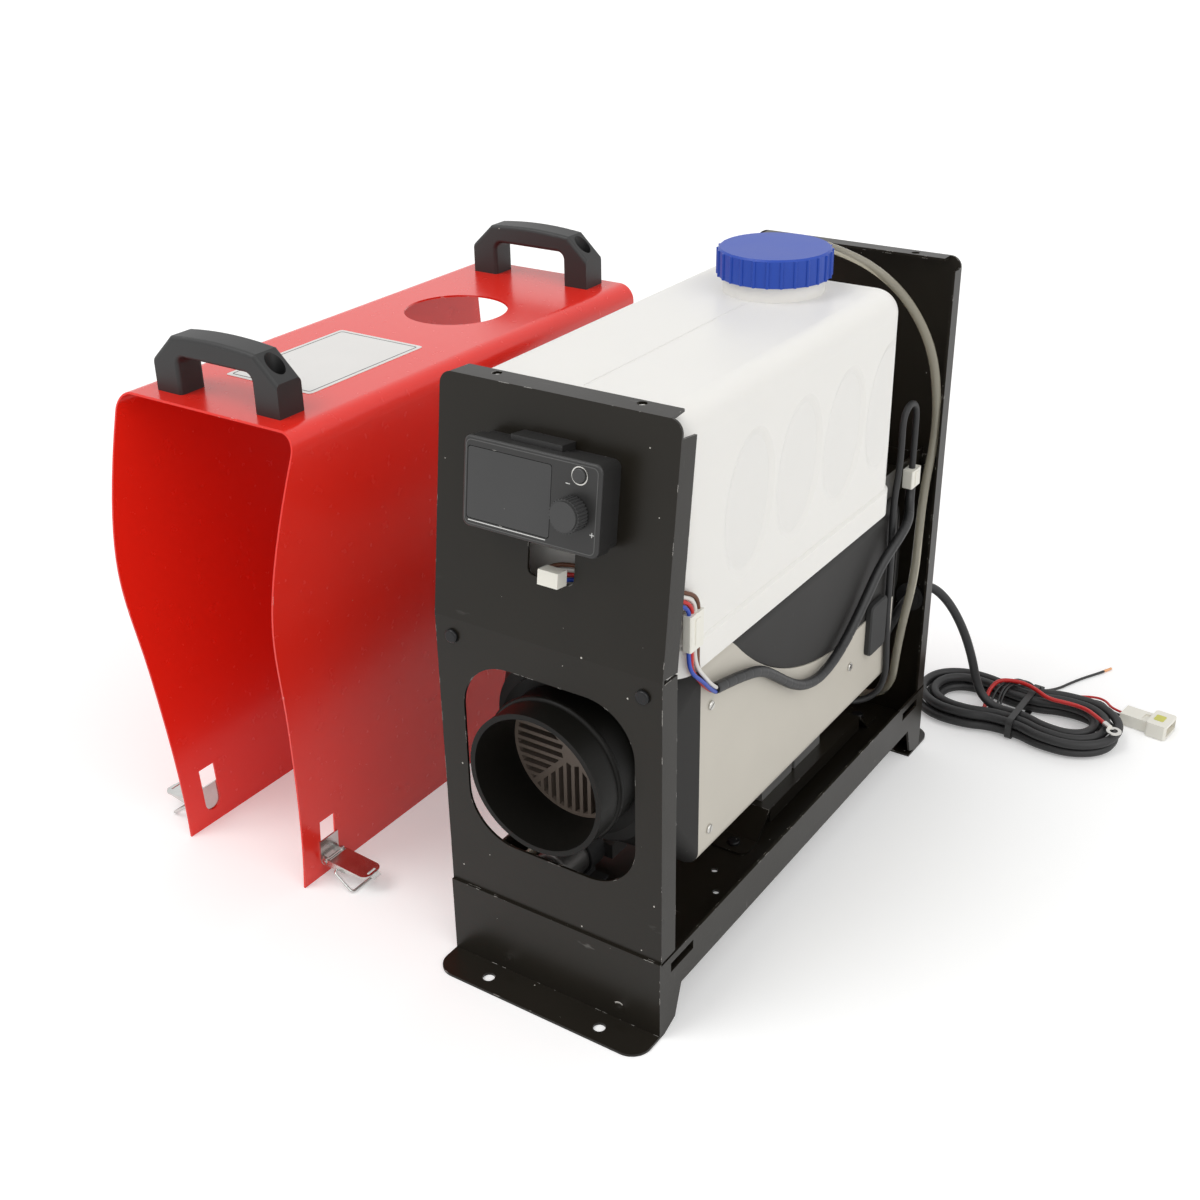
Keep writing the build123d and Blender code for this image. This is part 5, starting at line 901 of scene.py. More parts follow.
# ================================================================== studio
@dataclass
class Studio:
    """Plain pale floor, soft light and a camera where the photographer stood."""

    eye: Point = (404.56, -720.06, 596.74)
    ahead: Point = (-0.49862, 0.73704, -0.45623)
    right: Point = (0.83248, 0.55385, -0.01506)
    up: Point = (-0.24158, 0.38732, 0.88973)
    lens: float = 46.392
    sensor: float = 36.0
    nearest: float = 0.01
    room_light: float = 0.58
    key_light: float = 1.0
    key_spread: float = 32.0
    key_from: Point = (-0.55, -0.75, 1.35)
    fill_light: float = 0.95
    fill_spread: float = 60.0
    fill_from: Point = (1.1, -0.35, 0.9)
    floor_half: float = 9.0
    floor_z: float = -0.0002
    floor_colour: Colour = (0.88, 0.88, 0.875)
    floor_roughness: float = 0.9
    floor_specular: float = 0.1
    floor_glow: float = 0.24

    def build(self) -> None:
        """Sets up the view, the room, the lamps, the floor and the camera."""
        scene = bpy.context.scene
        scene.view_settings.view_transform = "Standard"
        self._room(scene)
        self._lamp("key", self.key_light, self.key_spread, self.key_from)
        self._lamp("fill", self.fill_light, self.fill_spread, self.fill_from)
        self._floor()
        self._camera(scene)

    @staticmethod
    def _seen(tree: Tree) -> Socket:
        """Finds the rays that see the background: straight, in gloss or through glass.

        Args:
            tree: The tree that gets the nodes.

        Returns:
            Their mask.
        """
        rays = tree.nodes.new("ShaderNodeLightPath")
        looks = maths(tree, "MAXIMUM", rays.outputs["Is Camera Ray"], rays.outputs["Is Glossy Ray"])
        return maths(tree, "MAXIMUM", looks, rays.outputs["Is Transmission Ray"])

    def _room(self, scene: bpy.types.Scene) -> None:
        """Adds even white surroundings that light the object less than they look.

        Args:
            scene: The scene that gets them.
        """
        world = bpy.data.worlds.new("studio")
        scene.world = world
        world.use_nodes = True
        tree = world.node_tree
        shade = tree.nodes["Background"]
        shade.inputs["Color"].default_value = WHITE
        extra = 1.0 - self.room_light
        strength = maths(tree, "MULTIPLY_ADD", self._seen(tree), extra, self.room_light)
        join(tree, strength, shade.inputs["Strength"])

    @staticmethod
    def _lamp(name: str, strength: float, spread: float, toward: Point) -> None:
        """Adds a soft distant lamp.

        Args:
            name: The lamp's name.
            strength: Its strength.
            spread: Its angle in degrees; a large one gives soft shadows.
            toward: Direction from the object to the lamp.
        """
        data = bpy.data.lights.new(name, "SUN")
        data.energy = strength
        data.angle = math.radians(spread)
        lamp = bpy.data.objects.new(name, data)
        lamp.rotation_euler = Vector(toward).to_track_quat("Z", "Y").to_euler()
        bpy.context.scene.collection.objects.link(lamp)

    def _floor(self) -> None:
        """Adds a pale floor that keeps the object's shadow."""
        build = bmesh.new()
        half = self.floor_half
        corners = ((-half, -half), (half, -half), (half, half), (-half, half))
        build.faces.new([build.verts.new((x, y, self.floor_z)) for x, y in corners])
        data = bpy.data.meshes.new("studio_floor")
        build.to_mesh(data)
        build.free()
        floor = bpy.data.objects.new("studio_floor", data)
        bpy.context.scene.collection.objects.link(floor)
        material = bpy.data.materials.new("studio_floor")
        material.use_nodes = True
        tree = material.node_tree
        shader = tree.nodes["Principled BSDF"]
        shader.inputs["Base Color"].default_value = (*self.floor_colour, 1.0)
        shader.inputs["Roughness"].default_value = self.floor_roughness
        shader.inputs["Specular IOR Level"].default_value = self.floor_specular
        shader.inputs["Emission Color"].default_value = WHITE
        glow = maths(tree, "MULTIPLY", self._seen(tree), self.floor_glow)
        join(tree, glow, shader.inputs["Emission Strength"])
        data.materials.append(material)

    def _camera(self, scene: bpy.types.Scene) -> None:
        """Puts a camera at the photograph's place, with its angle and lens.

        Args:
            scene: The scene that gets it.
        """
        data = bpy.data.cameras.new("camera")
        data.sensor_width = self.sensor
        data.lens = self.lens
        data.clip_start = self.nearest
        camera = bpy.data.objects.new("camera", data)
        turn = Matrix((Vector(self.right), Vector(self.up), -Vector(self.ahead))).transposed()
        camera.matrix_world = Matrix.Translation(Vector(self.eye) * MM) @ turn.to_4x4()
        scene.collection.objects.link(camera)
        scene.camera = camera


# ================================================================== frame and core
@dataclass
class FrameDetails:
    """Small marks of the sheet-metal frame: the weld spots on its end plates."""

    end_y: float = 174.8
    spots: tuple[Flat, ...] = ((-31.5, 10.6), (43.9, 9.9))
    spot_radius: float = 4.2
    spot_height: float = 0.35
    spot_sunk: float = 0.02

    def build(self, bench: Bench) -> None:
        """Adds the weld spots.

        Args:
            bench: Makes the piece.
        """
        build = bmesh.new()
        profile = []
        for share in (1.0, 0.8, 0.55, 0.3, 0.1):
            dome = self.spot_height * (1 - share**2) ** 1.5
            profile.append((self.spot_radius * share, dome - self.spot_sunk * share))
        for facing in (-1.0, 1.0):
            for x, z in self.spots:
                lathe(build, profile, (x, facing * self.end_y, z), (0.0, facing, 0.0), sides=24)
        bench.mesh("weld_spots", build, Tag("heater", "frame_black"), crease=60.0)


@dataclass
class CoreDetails:
    """Slotted screws that hold the core's shells together."""

    side_x: float = 60.0
    places: tuple[Flat, ...] = ((-108.4, 174.7), (-107.9, 95.3), (67.6, 113.1))
    head_radius: float = 2.7
    head_height: float = 1.3
    head_sunk: float = 0.2
    rim_drop: float = 0.35
    top_share: float = 0.86
    slot_half: float = 0.45
    slot_depth: float = 0.7
    first_turn: float = 0.5
    next_turn: float = 0.7
    foot_sides: int = 28
    edge_steps: int = 12

    def build(self, bench: Bench) -> None:
        """Adds the screws on both sides.

        Args:
            bench: Makes the piece.
        """
        build = bmesh.new()
        for side in (-1.0, 1.0):
            for number, (y, z) in enumerate(self.places):
                turned = self.first_turn + self.next_turn * number
                self._screw(build, (side * self.side_x, y, z), (side, 0.0, 0.0), turned)
        bench.mesh("shell_screws", build, Tag("heater", "stainless", "screw_steel"))

    def _screw(self, build: Build, at: Point, normal: Point, turned: float) -> None:
        """Adds one slotted head: a foot disc and two half heads with the slot between.

        Args:
            build: Where it goes.
            at: Centre of the head's foot, in millimetres.
            normal: Direction that the head faces.
            turned: Angle of the slot, in radians.
        """
        turn = basis(normal) @ Matrix.Rotation(turned, 3, "Z")
        centre = Vector(at)

        def place(x: float, y: float, height: float) -> Vector:
            """Point of the head in metres."""
            return (centre + turn @ Vector((x, y, height))) * MM

        floor = self.head_height - self.slot_depth
        prism(build, circle(self.head_radius, self.foot_sides), place, -self.head_sunk, floor)
        edge = math.asin(self.slot_half / self.head_radius)
        for half in (0.0, math.pi):
            outline, inner = self._half_head(half + edge, math.pi - 2 * edge)
            low = [build.verts.new(place(x, y, floor)) for x, y in outline]
            mid = [build.verts.new(place(x, y, self.head_height - self.rim_drop)) for x, y in outline]
            top = [build.verts.new(place(x, y, self.head_height)) for x, y in inner]
            bridge(build, low, mid)
            bridge(build, mid, top)
            build.faces.new(low[::-1])
            build.faces.new(top)

    def _half_head(self, start: float, span: float) -> tuple[list[Flat], list[Flat]]:
        """Outlines of one half of the head, on one side of the slot.

        Args:
            start: Angle where its round edge starts, in radians.
            span: Angle that the edge goes round.

        Returns:
            The outline at its rim and the smaller one at its top.
        """
        steps, radius, share = self.edge_steps, self.head_radius, self.top_share
        turns = [start + span * step / steps for step in range(steps + 1)]
        outline = [(radius * math.cos(t), radius * math.sin(t)) for t in turns]
        inner = [(x * share, y * share if abs(y) > 2 * self.slot_half else y) for x, y in outline]
        return outline, inner


# ================================================================== tank and fuel line
@dataclass(frozen=True)
class Cord:
    """One cord, hose or wire: its route in millimetres and its plain facts."""

    name: str
    nodes: tuple[str, ...]
    route: tuple[Point, ...]
    radius: float
    length: float
    tag: Tag
    far_end: str = "object"
    stiffness: str = "medium"
    lay: str = "loose"
    band: Band | None = None

    def lay_out(self, bench: Bench) -> bpy.types.Object:
        """Args:
            bench: Makes the spline.

        Returns:
            The cord's piece.
        """
        route = metres(self.route)
        piece = bench.enrol(bench.spline(self.name, route, self.radius * MM), self.tag, self.band)
        self.declare()
        return piece

    def declare(
        self,
    ) -> None:
        """Hides the CAD nodes that the piece stands for.
        """
        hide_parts(*self.nodes)


@dataclass
class TankDetails:
    """Mould seam of the blown tank."""

    seam_from: float = -132.5
    seam_to: float = 30.0
    seam_top: float = 348.0
    seam_half: float = 0.7
    seam_crest: float = 0.25
    seam_rise: float = 0.30
    seam_sunk: float = 0.2

    def build(self, bench: Bench) -> None:
        """Adds the seam along the tank's top.

        Args:
            bench: Makes the piece.
        """
        build = bmesh.new()
        foot, crest, top = self.seam_half, self.seam_crest, self.seam_top
        low, high = top - self.seam_sunk, top + self.seam_rise
        section = ((-foot, low), (foot, low), (crest, high), (-crest, high))
        ends = (self.seam_from, self.seam_to)
        rings = [[build.verts.new(Vector((x, y, z)) * MM) for x, z in section] for y in ends]
        bridge(build, *rings)
        build.faces.new(rings[0])
        build.faces.new(rings[1][::-1])
        bench.mesh("tank_seam", build, Tag("heater", "tank_white"), crease=60.0)


@dataclass
class FuelLine:
    """Clear hose in three lengths, with a spring band at each joint."""

    radius: float = 2.9
    band_inner: float = 2.95
    band_outer: float = 3.55
    band_width: float = 4.2
    band_edge: Flat = (0.15, 0.3)
    band_sides: int = 32
    ear_inset: float = 1.1
    ear: tuple[Flat, ...] = ((0.4, 3.15), (1.1, 3.15), (2.4, 5.45), (1.8, 5.65))
    bands: tuple[tuple[Point, Point], ...] = (
        ((-36.0, 96.6, 358.0), (0.0, 1.0, 0.03)),
        ((-57.0, 35.0, 34.3), (0.0, 1.0, 0.0)),
        ((-57.0, -25.5, 34.3), (0.0, 1.0, 0.0)),
        ((-30.0, -149.0, 45.0), (0.0, 1.0, 0.0)),
        ((-30.0, -65.0, 45.0), (0.0, 1.0, 0.0)),
    )
    supply: tuple[Point, ...] = (
        (-36, 93.4, 358), (-36, 106.4, 358), (-27, 117, 361), (-10, 120, 362), (11, 118, 360.5),
        (34, 127, 350), (50, 144, 328), (62, 157, 297), (65.2, 165, 262), (65, 167, 233),
        (63, 162, 205), (62.5, 160, 179), (64, 155, 140), (60, 150, 106), (57, 151, 80),
        (54, 155, 57), (42, 160, 41), (20, 162, 36), (-12, 162.5, 37), (-40, 160, 38),
        (-55, 146, 37), (-57.5, 120, 36), (-57.2, 85, 34.5), (-57, 55, 34.3), (-57, 33, 34.3),
    )
    to_pump: tuple[Point, ...] = (
        (-57, -19, 34.3), (-57, -41, 34.3), (-56.6, -78, 35), (-57, -116, 38), (-56.4, -136, 40.2),
        (-57, -154.6, 42.5), (-49.1, -162.5, 44), (-37.9, -162.5, 45), (-30, -154.6, 45), (-30, -143, 45),
    )
    to_burner: tuple[Point, ...] = (
        (-30, -67, 45), (-30, -57, 45), (-28, -43, 50), (-25, -29, 57), (-24, -18, 60), (-24, -9, 60),
    )
    lengths: tuple[float, ...] = (635.0, 179.0, 61.0)

    def build(self, bench: Bench) -> None:
        """Lays the hoses and adds the bands.

        Args:
            bench: Makes the pieces.
        """
        tag = Tag("heater", "hose_clear")
        names = ("fuel_hose_supply", "fuel_hose_to_pump", "fuel_hose_to_burner")
        routes = (self.supply, self.to_pump, self.to_burner)
        for name, route, length in zip(names, routes, self.lengths, strict=True):
            Cord(name, ("fuel_hose",), route, self.radius, length, tag).lay_out(bench)
        build = bmesh.new()
        inner, outer, width = self.band_inner, self.band_outer, self.band_width
        cut, rise = self.band_edge
        profile = (
            (inner, 0.0), (outer - cut, 0.0), (outer, rise), (outer, width - rise),
            (outer - cut, width), (inner, width),
        )
        for foot, along in self.bands:
            self._band(build, profile, foot, along)
        bench.mesh("hose_bands", build, Tag("heater", "latch_steel"))

    def _band(self, build: Build, profile: Sequence[Flat], foot: Point, along: Point) -> None:
        """Adds one spring band with its two ears.

        Args:
            build: Where it goes.
            profile: Radius and height of the band's rings.
            foot: Where the band starts on the hose.
            along: The hose's direction there.
        """
        turn = basis(along)
        centre = Vector(foot)

        def place(x: float, y: float, height: float) -> Vector:
            """Point of the band in metres."""
            return (centre + turn @ Vector((x, y, height))) * MM

        rings = []
        for radius, height in profile:
            rings.append([build.verts.new(place(x, y, height)) for x, y in circle(radius, self.band_sides)])
        for ring, following in zip(rings, (*rings[1:], rings[0])):
            bridge(build, ring, following)
        low, high = self.ear_inset, self.band_width - self.ear_inset
        prism(build, [(-x, y) for x, y in self.ear][::-1], place, low, high)
        prism(build, self.ear, place, low, high)


# ================================================================== controller
@dataclass
class ControllerFace:
    """Printing, trim and a painted highlight on the controller's face, which leans with the front panel."""

    origin: Point = (0.0, -173.3, 222.4)
    lean: float = 7.5
    front: float = 18.0
    centre_up: float = 83.0
    # The rim line sits at the edge of the flat face; its light grey is a painted highlight of the fillet
    # there.
    rim_size: Flat = (76.6, 42.6)
    rim_line: float = 0.45
    rim_corner: float = 3.0
    rim_proud: float = 0.10
    print_proud: float = 0.08
    sunk: float = 0.1
    line_up: float = 63.6
    line_span: Flat = (-36.0, 10.2)
    line_width: float = 0.5
    minus_at: Flat = (21.5, 94.0)
    plus_at: Flat = (36.4, 71.9)
    sign_size: float = 2.4
    sign_line: float = 0.45
    button_at: Flat = (28.0, 99.0)
    ring_inner: float = 3.95
    ring_outer: float = 4.55
    ring_sunk: float = 0.2
    ring_proud: float = 0.25

    def point(self, u: float, v: float, out: float) -> Vector:
        """Point on the leaning panel.

        Args:
            u: Distance across, in millimetres.
            v: Distance up the panel from its bend.
            out: Distance in front of it.

        Returns:
            The point in metres.
        """
        angle = math.radians(self.lean)
        x, y, z = self.origin
        return Vector(
            (
                x + u,
                y + v * math.sin(angle) - out * math.cos(angle),
                z + v * math.cos(angle) + out * math.sin(angle),
            )
        ) * MM

    def build(self, bench: Bench) -> None:
        """Adds the rim line, whose light grey is a painted highlight, the rule, the two signs and the
        button's ring.

        Args:
            bench: Makes the pieces.
        """
        width, height = self.rim_size
        line = self.rim_line
        front, corner = self.front, self.rim_corner
        outer = rounded(0.0, self.centre_up, width, height, corner)
        inner = rounded(0.0, self.centre_up, width - 2 * line, height - 2 * line, corner - line)
        build = bmesh.new()
        # Raised rim line in light grey: a painted highlight along the edge of the face's fillet.
        prism(build, outer, self.point, front - self.sunk, front + self.rim_proud, inner)
        bench.mesh("controller_rim_line", build, Tag("heater", "controller_black", "rim_grey"))
        build = bmesh.new()
        left, right = self.line_span
        self._bar(build, ((left + right) / 2, self.line_up), right - left, self.line_width)
        self._bar(build, self.minus_at, self.sign_size, self.sign_line)
        self._cross(build, self.plus_at)
        bench.mesh("controller_printing", build, Tag("heater", "connector_white", "printing_white"))
        build = bmesh.new()
        u, v = self.button_at
        outer, inner = disc(u, v, self.ring_outer), disc(u, v, self.ring_inner)
        prism(build, outer, self.point, front - self.ring_sunk, front + self.ring_proud, inner)
        bench.mesh("button_ring", build, Tag("heater", "terminal_tin", "screw_steel"))

    def _print(self, build: Build, at: Flat, corners: Sequence[Flat]) -> None:
        """Adds a printed mark.

        Args:
            build: Where it goes.
            at: Its centre across and up the panel.
            corners: Its outline round that centre.
        """
        u, v = at
        outline = [(u + x, v + y) for x, y in corners]
        prism(build, outline, self.point, self.front - self.sunk, self.front + self.print_proud)

    def _bar(self, build: Build, at: Flat, width: float, height: float) -> None:
        """Adds a printed bar.

        Args:
            build: Where it goes.
            at: Its centre.
            width: Its width.
            height: Its height.
        """
        x, y = width / 2, height / 2
        self._print(build, at, ((-x, -y), (x, -y), (x, y), (-x, y)))

    def _cross(self, build: Build, at: Flat) -> None:
        """Adds a printed plus sign as one outline, made of four quarters.

        Args:
            build: Where it goes.
            at: Its centre.
        """
        half, thin = self.sign_size / 2, self.sign_line / 2
        corners = [(thin, -half), (thin, -thin), (half, -thin)]
        for _ in range(3):
            corners += [(-y, x) for x, y in corners[-3:]]
        self._print(build, at, corners)


# ================================================================== leads on the heater
@dataclass
class HeaterLeads:
    """Coloured loom, taped harness, sensor lead and the power lead's inner end."""

    face: ControllerFace
    wire_radius: float = 1.1
    wire_gap: float = 2.5
    plug_y: float = -140.5
    plug_low: float = 226.5
    plug_high: float = 246.5
    spreads: tuple[float, ...] = (-4.5, -1.5, 1.5, 4.5)
    wires: tuple[str, ...] = ("wire_blue", "wire_red", "wire_white", "wire_brown")
    down_lengths: tuple[float, ...] = (53.0, 51.0, 48.0, 46.0)
    up_lengths: tuple[float, ...] = (75.0, 80.0, 85.0, 90.0)
    harness_radius: float = 3.1
    harness_length: float = 296.0
    tape_pitch: float = 9.5
    tape_edge: float = 8.0
    tape_low: float = -0.18
    tape_step: float = 0.20
    tape_creep: float = 0.06
    sensor_radius: float = 2.1
    sensor_length: float = 298.0
    inner_radius: float = 3.15
    inner_length: float = 105.0
    harness: tuple[Point, ...] = (
        (64.5, -112, 188), (64.4, -98, 185), (64.5, -80, 180.5), (64.5, -60, 174), (64.4, -42, 161),
        (64.5, -22, 146), (64.6, -4, 136.5), (64.5, 17, 132), (64.4, 42, 137), (64.6, 68, 153),
        (65.5, 92, 175), (68.8, 112, 187.5), (67.6, 128, 193), (62.5, 139, 199), (61, 142.5, 206),
        (61, 142.5, 210),
    )
    sensor: tuple[Point, ...] = (
        (61, 142.5, 222), (61, 142.5, 243), (61.2, 142, 261.3), (61.5, 135.3, 268), (61.8, 125.7, 268),
        (62.1, 119, 261.3), (62.3, 119.3, 246), (62.3, 118.6, 228), (62.3, 114, 210), (62.3, 114.5, 188),
        (62.3, 116.5, 168), (62.3, 117, 146), (62.3, 117.5, 125), (62.6, 120, 101), (62.6, 122, 80),
        (57, 120, 65), (46, 112, 60), (37.5, 105, 64), (36, 104, 69), (36, 104, 73),
    )
    inner: tuple[Point, ...] = (
        (56, 168.6, 117), (56, 163.6, 117), (54, 158, 112), (49, 154, 98), (43.5, 148, 82),
        (36, 139, 67), (26, 127, 60), (19, 117, 62), (17.5, 113, 68), (17.5, 113, 73),
    )

    def build(self, bench: Bench) -> None:
        """Lays all the leads that stay on the heater.

        Args:
            bench: Makes the pieces.
        """
        for step in range(len(self.wires)):
            self._wire(bench, step)
        self._harness(bench)
        sleeve = Tag("heater", "sleeve_black")
        for name, route, radius, length in (
            ("sensor_lead", self.sensor, self.sensor_radius, self.sensor_length),
            ("power_lead_inner", self.inner, self.inner_radius, self.inner_length),
        ):
            Cord(name, ("rear_harness",), route, radius, length, sleeve).lay_out(bench)

    def _wire(self, bench: Bench, step: int) -> None:
        """Lays one loom wire: its end below the side connector and its end above.

        Args:
            bench: Makes the pieces.
            step: The wire's number in the connector.
        """
        spread = self.spreads[step]
        y = self.plug_y + spread
        across = self.wire_gap * (0.5 - step % 2)
        above = self.wire_gap * (step // 2 - 0.5)
        low, high = self.plug_low, self.plug_high
        down = (
            (67.6, y, low),
            (67.6, y, low - 6),
            (68.1 + 0.8 * across, y + 1, low - 13),
            (68 + across, -131.8 + 0.63 * above, 204.5 + 0.78 * above),
            (66 + across, -121 + 0.5 * above, 194 + 0.86 * above),
            (64.5 + across, -113.4 + 0.21 * above, 188.4 + 0.98 * above),
        )
        pin_u, pin_v = 9.9 - 2.6 * step, 37.7 + 1.9 * step
        behind, pin = (tuple(self.face.point(pin_u, pin_v, out) / MM) for out in (-4.7, 0.3))
        up = (
            (67.5, y, high),
            (67.5, y, high + 4 + step),
            (64, -152 + spread * 0.9, high + 10 + step),
            (52, -157.5 + spread * 0.4, high + 11.5 + 2.5 * step),
            (30, -159.5 + spread * 0.3, high + 12 + 2.5 * step),
            (19 - 2.6 * step, -161.3, high + 12.3 + 2.4 * step),
            behind,
            pin,
        )
        tag = Tag("heater", "wire_mixed", self.wires[step])
        for way, route, length in (("down", down, self.down_lengths), ("up", up, self.up_lengths)):
            name = f"loom_{self.wires[step].removeprefix('wire_')}_{way}"
            Cord(
                name, ("loom_wires",), route, self.wire_radius, length[step], tag, stiffness="limp",
            ).lay_out(bench)

    def _harness(self, bench: Bench) -> None:
        """Lays the harness with each turn of its tape as a low step.

        Args:
            bench: Makes the piece.
        """
        tag = Tag("heater", "sleeve_black", "tape_black")
        path = even_steps(bench.centreline(metres(self.harness)), FINE_STEP)
        laps = line_length(path) / (self.tape_pitch * MM)

        def radius(share: float) -> float:
            """Radius with the tape's laps: each rises slowly and drops at the next.

            Args:
                share: Place along the line, from 0 to 1.

            Returns:
                The radius in metres.
            """
            lap = share * laps % 1.0
            step = self.tape_step * min(lap * self.tape_edge, 1.0)
            return (self.harness_radius + self.tape_low + step + self.tape_creep * lap) * MM

        piece = bench.mesh("controller_harness_taped", tube(path, radius), tag, crease=50.0)
        cord = Cord(
            piece.name, ("controller_harness",), self.harness, self.harness_radius, self.harness_length,
            tag,
        )
        cord.declare()


# ================================================================== power cord
@dataclass
class PowerCord:
    """The power lead that lies behind the heater in a tied hank, and its wire ends."""

    radius: float = 3.15
    lead: tuple[Point, ...] = (
        (56, 176.5, 117), (56, 191, 117), (61.5, 203.5, 110.5), (70, 213, 96), (78, 222, 74),
        (83.5, 229.5, 50), (87, 234, 29), (92.5, 235, 17.5), (102.5, 234.8, 11.6), (113, 234.8, 11.6),
    )
    hank_centre: Flat = (115.0, 245.0)
    half_run: float = 38.0
    inner_offset: float = 16.2
    pitch: float = 7.15
    waist: float = 6.0
    high_z: float = 11.6
    low_z: float = 4.7
    turned_at: float = 20.0
    ends_at: float = 39.0
    stop_short: float = 0.2
    phases: tuple[float, ...] = (0.35, 0.75, 1.25, 1.75, 2.25, 2.75, 3.25, 3.65)
    middle_runs: Flat = (11.0, 26.0)
    looseness: Flat = (0.14, 0.24)
    sleeve_end_x: float = 83.5
    length: float = 1702.0
    boot_length: float = 21.0
    boot_radius: float = 5.8
    boot_end: float = 0.6
    groove_depth: float = 0.7
    grooved: Flat = (0.2, 0.85)
    groove_rate: float = 6.5
    groove_share: float = 0.35
    collar_length: float = 12.0
    collar_thick: float = 0.35
    collar_flare: float = 0.1
    collar_lip: float = 0.25
    collar_closes: float = 0.75
    collar_tip: float = 1.1
    boot_sides: int = 28
    collar_sides: int = 24
    red_ring: tuple[Point, ...] = (
        (83.5, 228.46, 4.7), (88.5, 228.46, 4.7), (92.5, 232, 4.9), (93.6, 240, 5.8), (91, 248, 8),
        (90.8, 255.2, 13.5), (94.5, 261.5, 18.9), (104, 266, 19.2), (114, 266.5, 19), (124, 262, 18.8),
        (134, 257, 17.4), (149, 260, 16.8), (161, 258.5, 16.9), (169.8, 252.6, 17.1), (178.4, 245.8, 17.1),
    )
    bare: tuple[Point, ...] = (
        (83.5, 226.71, 6.7), (91.5, 226.71, 6.7), (97, 236, 5.4), (95.5, 247, 7.6), (95.6, 254.4, 12.8),
        (97.4, 261, 16.4), (101, 270, 16.1), (105, 279, 14.2), (109, 286, 8), (114, 291, 2.4),
        (121, 295, 1.2), (128, 304, 1.2), (132.5, 316, 1.2), (139, 330, 1.2), (147, 344, 1.2),
        (151.5, 354, 1.2),
    )
    ring_radius: float = 1.5
    ring_length: float = 135.0
    bare_radius: float = 1.0
    bare_length: float = 159.0
    copper: Band = Band("Y", 346.5, True, (0.72, 0.38, 0.20), True)
    pair_radius: float = 0.9
    pair_lengths: Flat = (156.0, 155.0)
    pair_tape: Band = Band("X", 137.0, False, (0.012, 0.012, 0.012))
    connector_at: Point = (181.0, 286.0, 4.8)
    connector_turn: float = -6.0
    blade_x: float = 28.0
    blade_off: float = 4.6
    blade_size: Flat = (9.0, 3.2)
    blade_half: float = 0.4
    blade_corner: float = 0.8
    lock_x: float = 26.5
    lock_size: Flat = (7.0, 8.0)
    lock_heights: Flat = (6.1, 6.8)
    lock_corner: float = 1.0

    def build(self, bench: Bench) -> None:
        """Lays the cord, its boot and collar, and the four wires at its end.

        Args:
            bench: Makes the pieces.
        """
        tag, rubber = Tag("heater", "sleeve_black"), Tag("heater", "rubber_black")
        route = (*self.lead, *self.hank())
        line = bench.centreline(metres(route))
        boot = bench.mesh("lead_boot", self._boot(line), rubber, crease=40.0)
        collar = bench.mesh("sleeve_collar", self._collar(line), rubber, crease=40.0)
        cord = Cord(
            "power_cord", ("power_lead", "power_hank"), route, self.radius, self.length, tag,
            far_end="fitting", lay="coiled",
        )
        cord.lay_out(bench)
        ring = Cord(
            "ring_wire_red", ("ring_wire",), self.red_ring, self.ring_radius, self.ring_length,
            Tag("heater", "wire_red"), far_end="connector", stiffness="limp",
        )
        ring.lay_out(bench)
        bare = Cord(
            "bare_wire_black", ("bare_wire",), self.bare, self.bare_radius, self.bare_length,
            Tag("heater", "wire_black"), far_end="bare", stiffness="limp", band=self.copper,
        )
        bare.lay_out(bench)
        pairs = (
            ("plug_wire_red", "wire_red", (1.0, -0.6, -2.05), self.pair_tape),
            ("plug_wire_black", "wire_black", (-1.2, -1.9, -0.2), None),
        )
        for (name, finish, offsets, band), length in zip(pairs, self.pair_lengths, strict=True):
            wire = Cord(
                name, ("plug_wires",), self.plug_route(*offsets), self.pair_radius, length,
                Tag("heater", "wire_red", finish), far_end="connector", stiffness="limp", band=band,
            )
            wire.lay_out(bench)
        self._connector_parts(bench)

    def hank(self) -> list[Point]:
        """Control points of the hank, outward on top and back inward below.

        Returns:
            Eight points a half turn, from the lead's end to the sleeve's end.
        """
        points: list[Point] = []
        for half in range(math.ceil(self.ends_at / 4)):
            for phase in self.phases:
                knot = 4 * half + phase
                if knot <= self.ends_at - self.stop_short:
                    points.append(self._hank_point(knot, phase, -1.0 if half % 2 else 1.0))
        cx, cy = self.hank_centre
        last, z, _ = self._layer(self.ends_at)
        points.append((cx - self.half_run, cy - last, z))
        points.append((self.sleeve_end_x, cy - last, z))
        return points

    def _hank_point(self, knot: float, phase: float, side: float) -> Point:
        """One control point of the hank.

        Args:
            knot: Place along the hank, four to a half turn.
            phase: Place in the half turn: a bend lies between 1 and 3.
            side: 1 for the half turn at the right, -1 for the left one.

        Returns:
            The point in millimetres.
        """
        cx, cy = self.hank_centre
        off, z, on_top = self._layer(knot)
        if phase < 1 or phase > 3:
            near = phase < 0.5 or phase > 3.5
            run = self.middle_runs[0 if near else 1]
            back = -1.0 if phase < 1 else 1.0
            return cx + side * run, cy + side * back * (off - self.waist if near else off), z
        angle = math.radians(90.0 * (phase - 2.0))
        tight, wide = self.looseness
        loose = (off - self.inner_offset) * (tight if on_top == (side > 0) else wide)
        reach = (off + loose) / math.cos(math.radians(22.5))
        y = off if abs(math.sin(angle)) > 0.9 else abs(reach * math.sin(angle))
        x = self.half_run + reach * math.cos(angle)
        return cx + side * x, cy + math.copysign(y, math.sin(angle)) * side, z

    def _layer(self, knot: float) -> tuple[float, float, bool]:
        """Where the cord lies in the hank.

        Args:
            knot: Place along the hank, four to a half turn.

        Returns:
            Offset from the hank's middle, height, and whether it is the top layer.
        """
        back = 2 * self.turned_at + 1 - knot
        grown = knot if knot <= self.turned_at else min(self.turned_at, back)
        share = min(max(knot - self.turned_at, 0.0), 1.0)
        height = self.high_z + (self.low_z - self.high_z) * share
        return self.inner_offset + self.pitch * grown / 8, height, knot <= self.turned_at

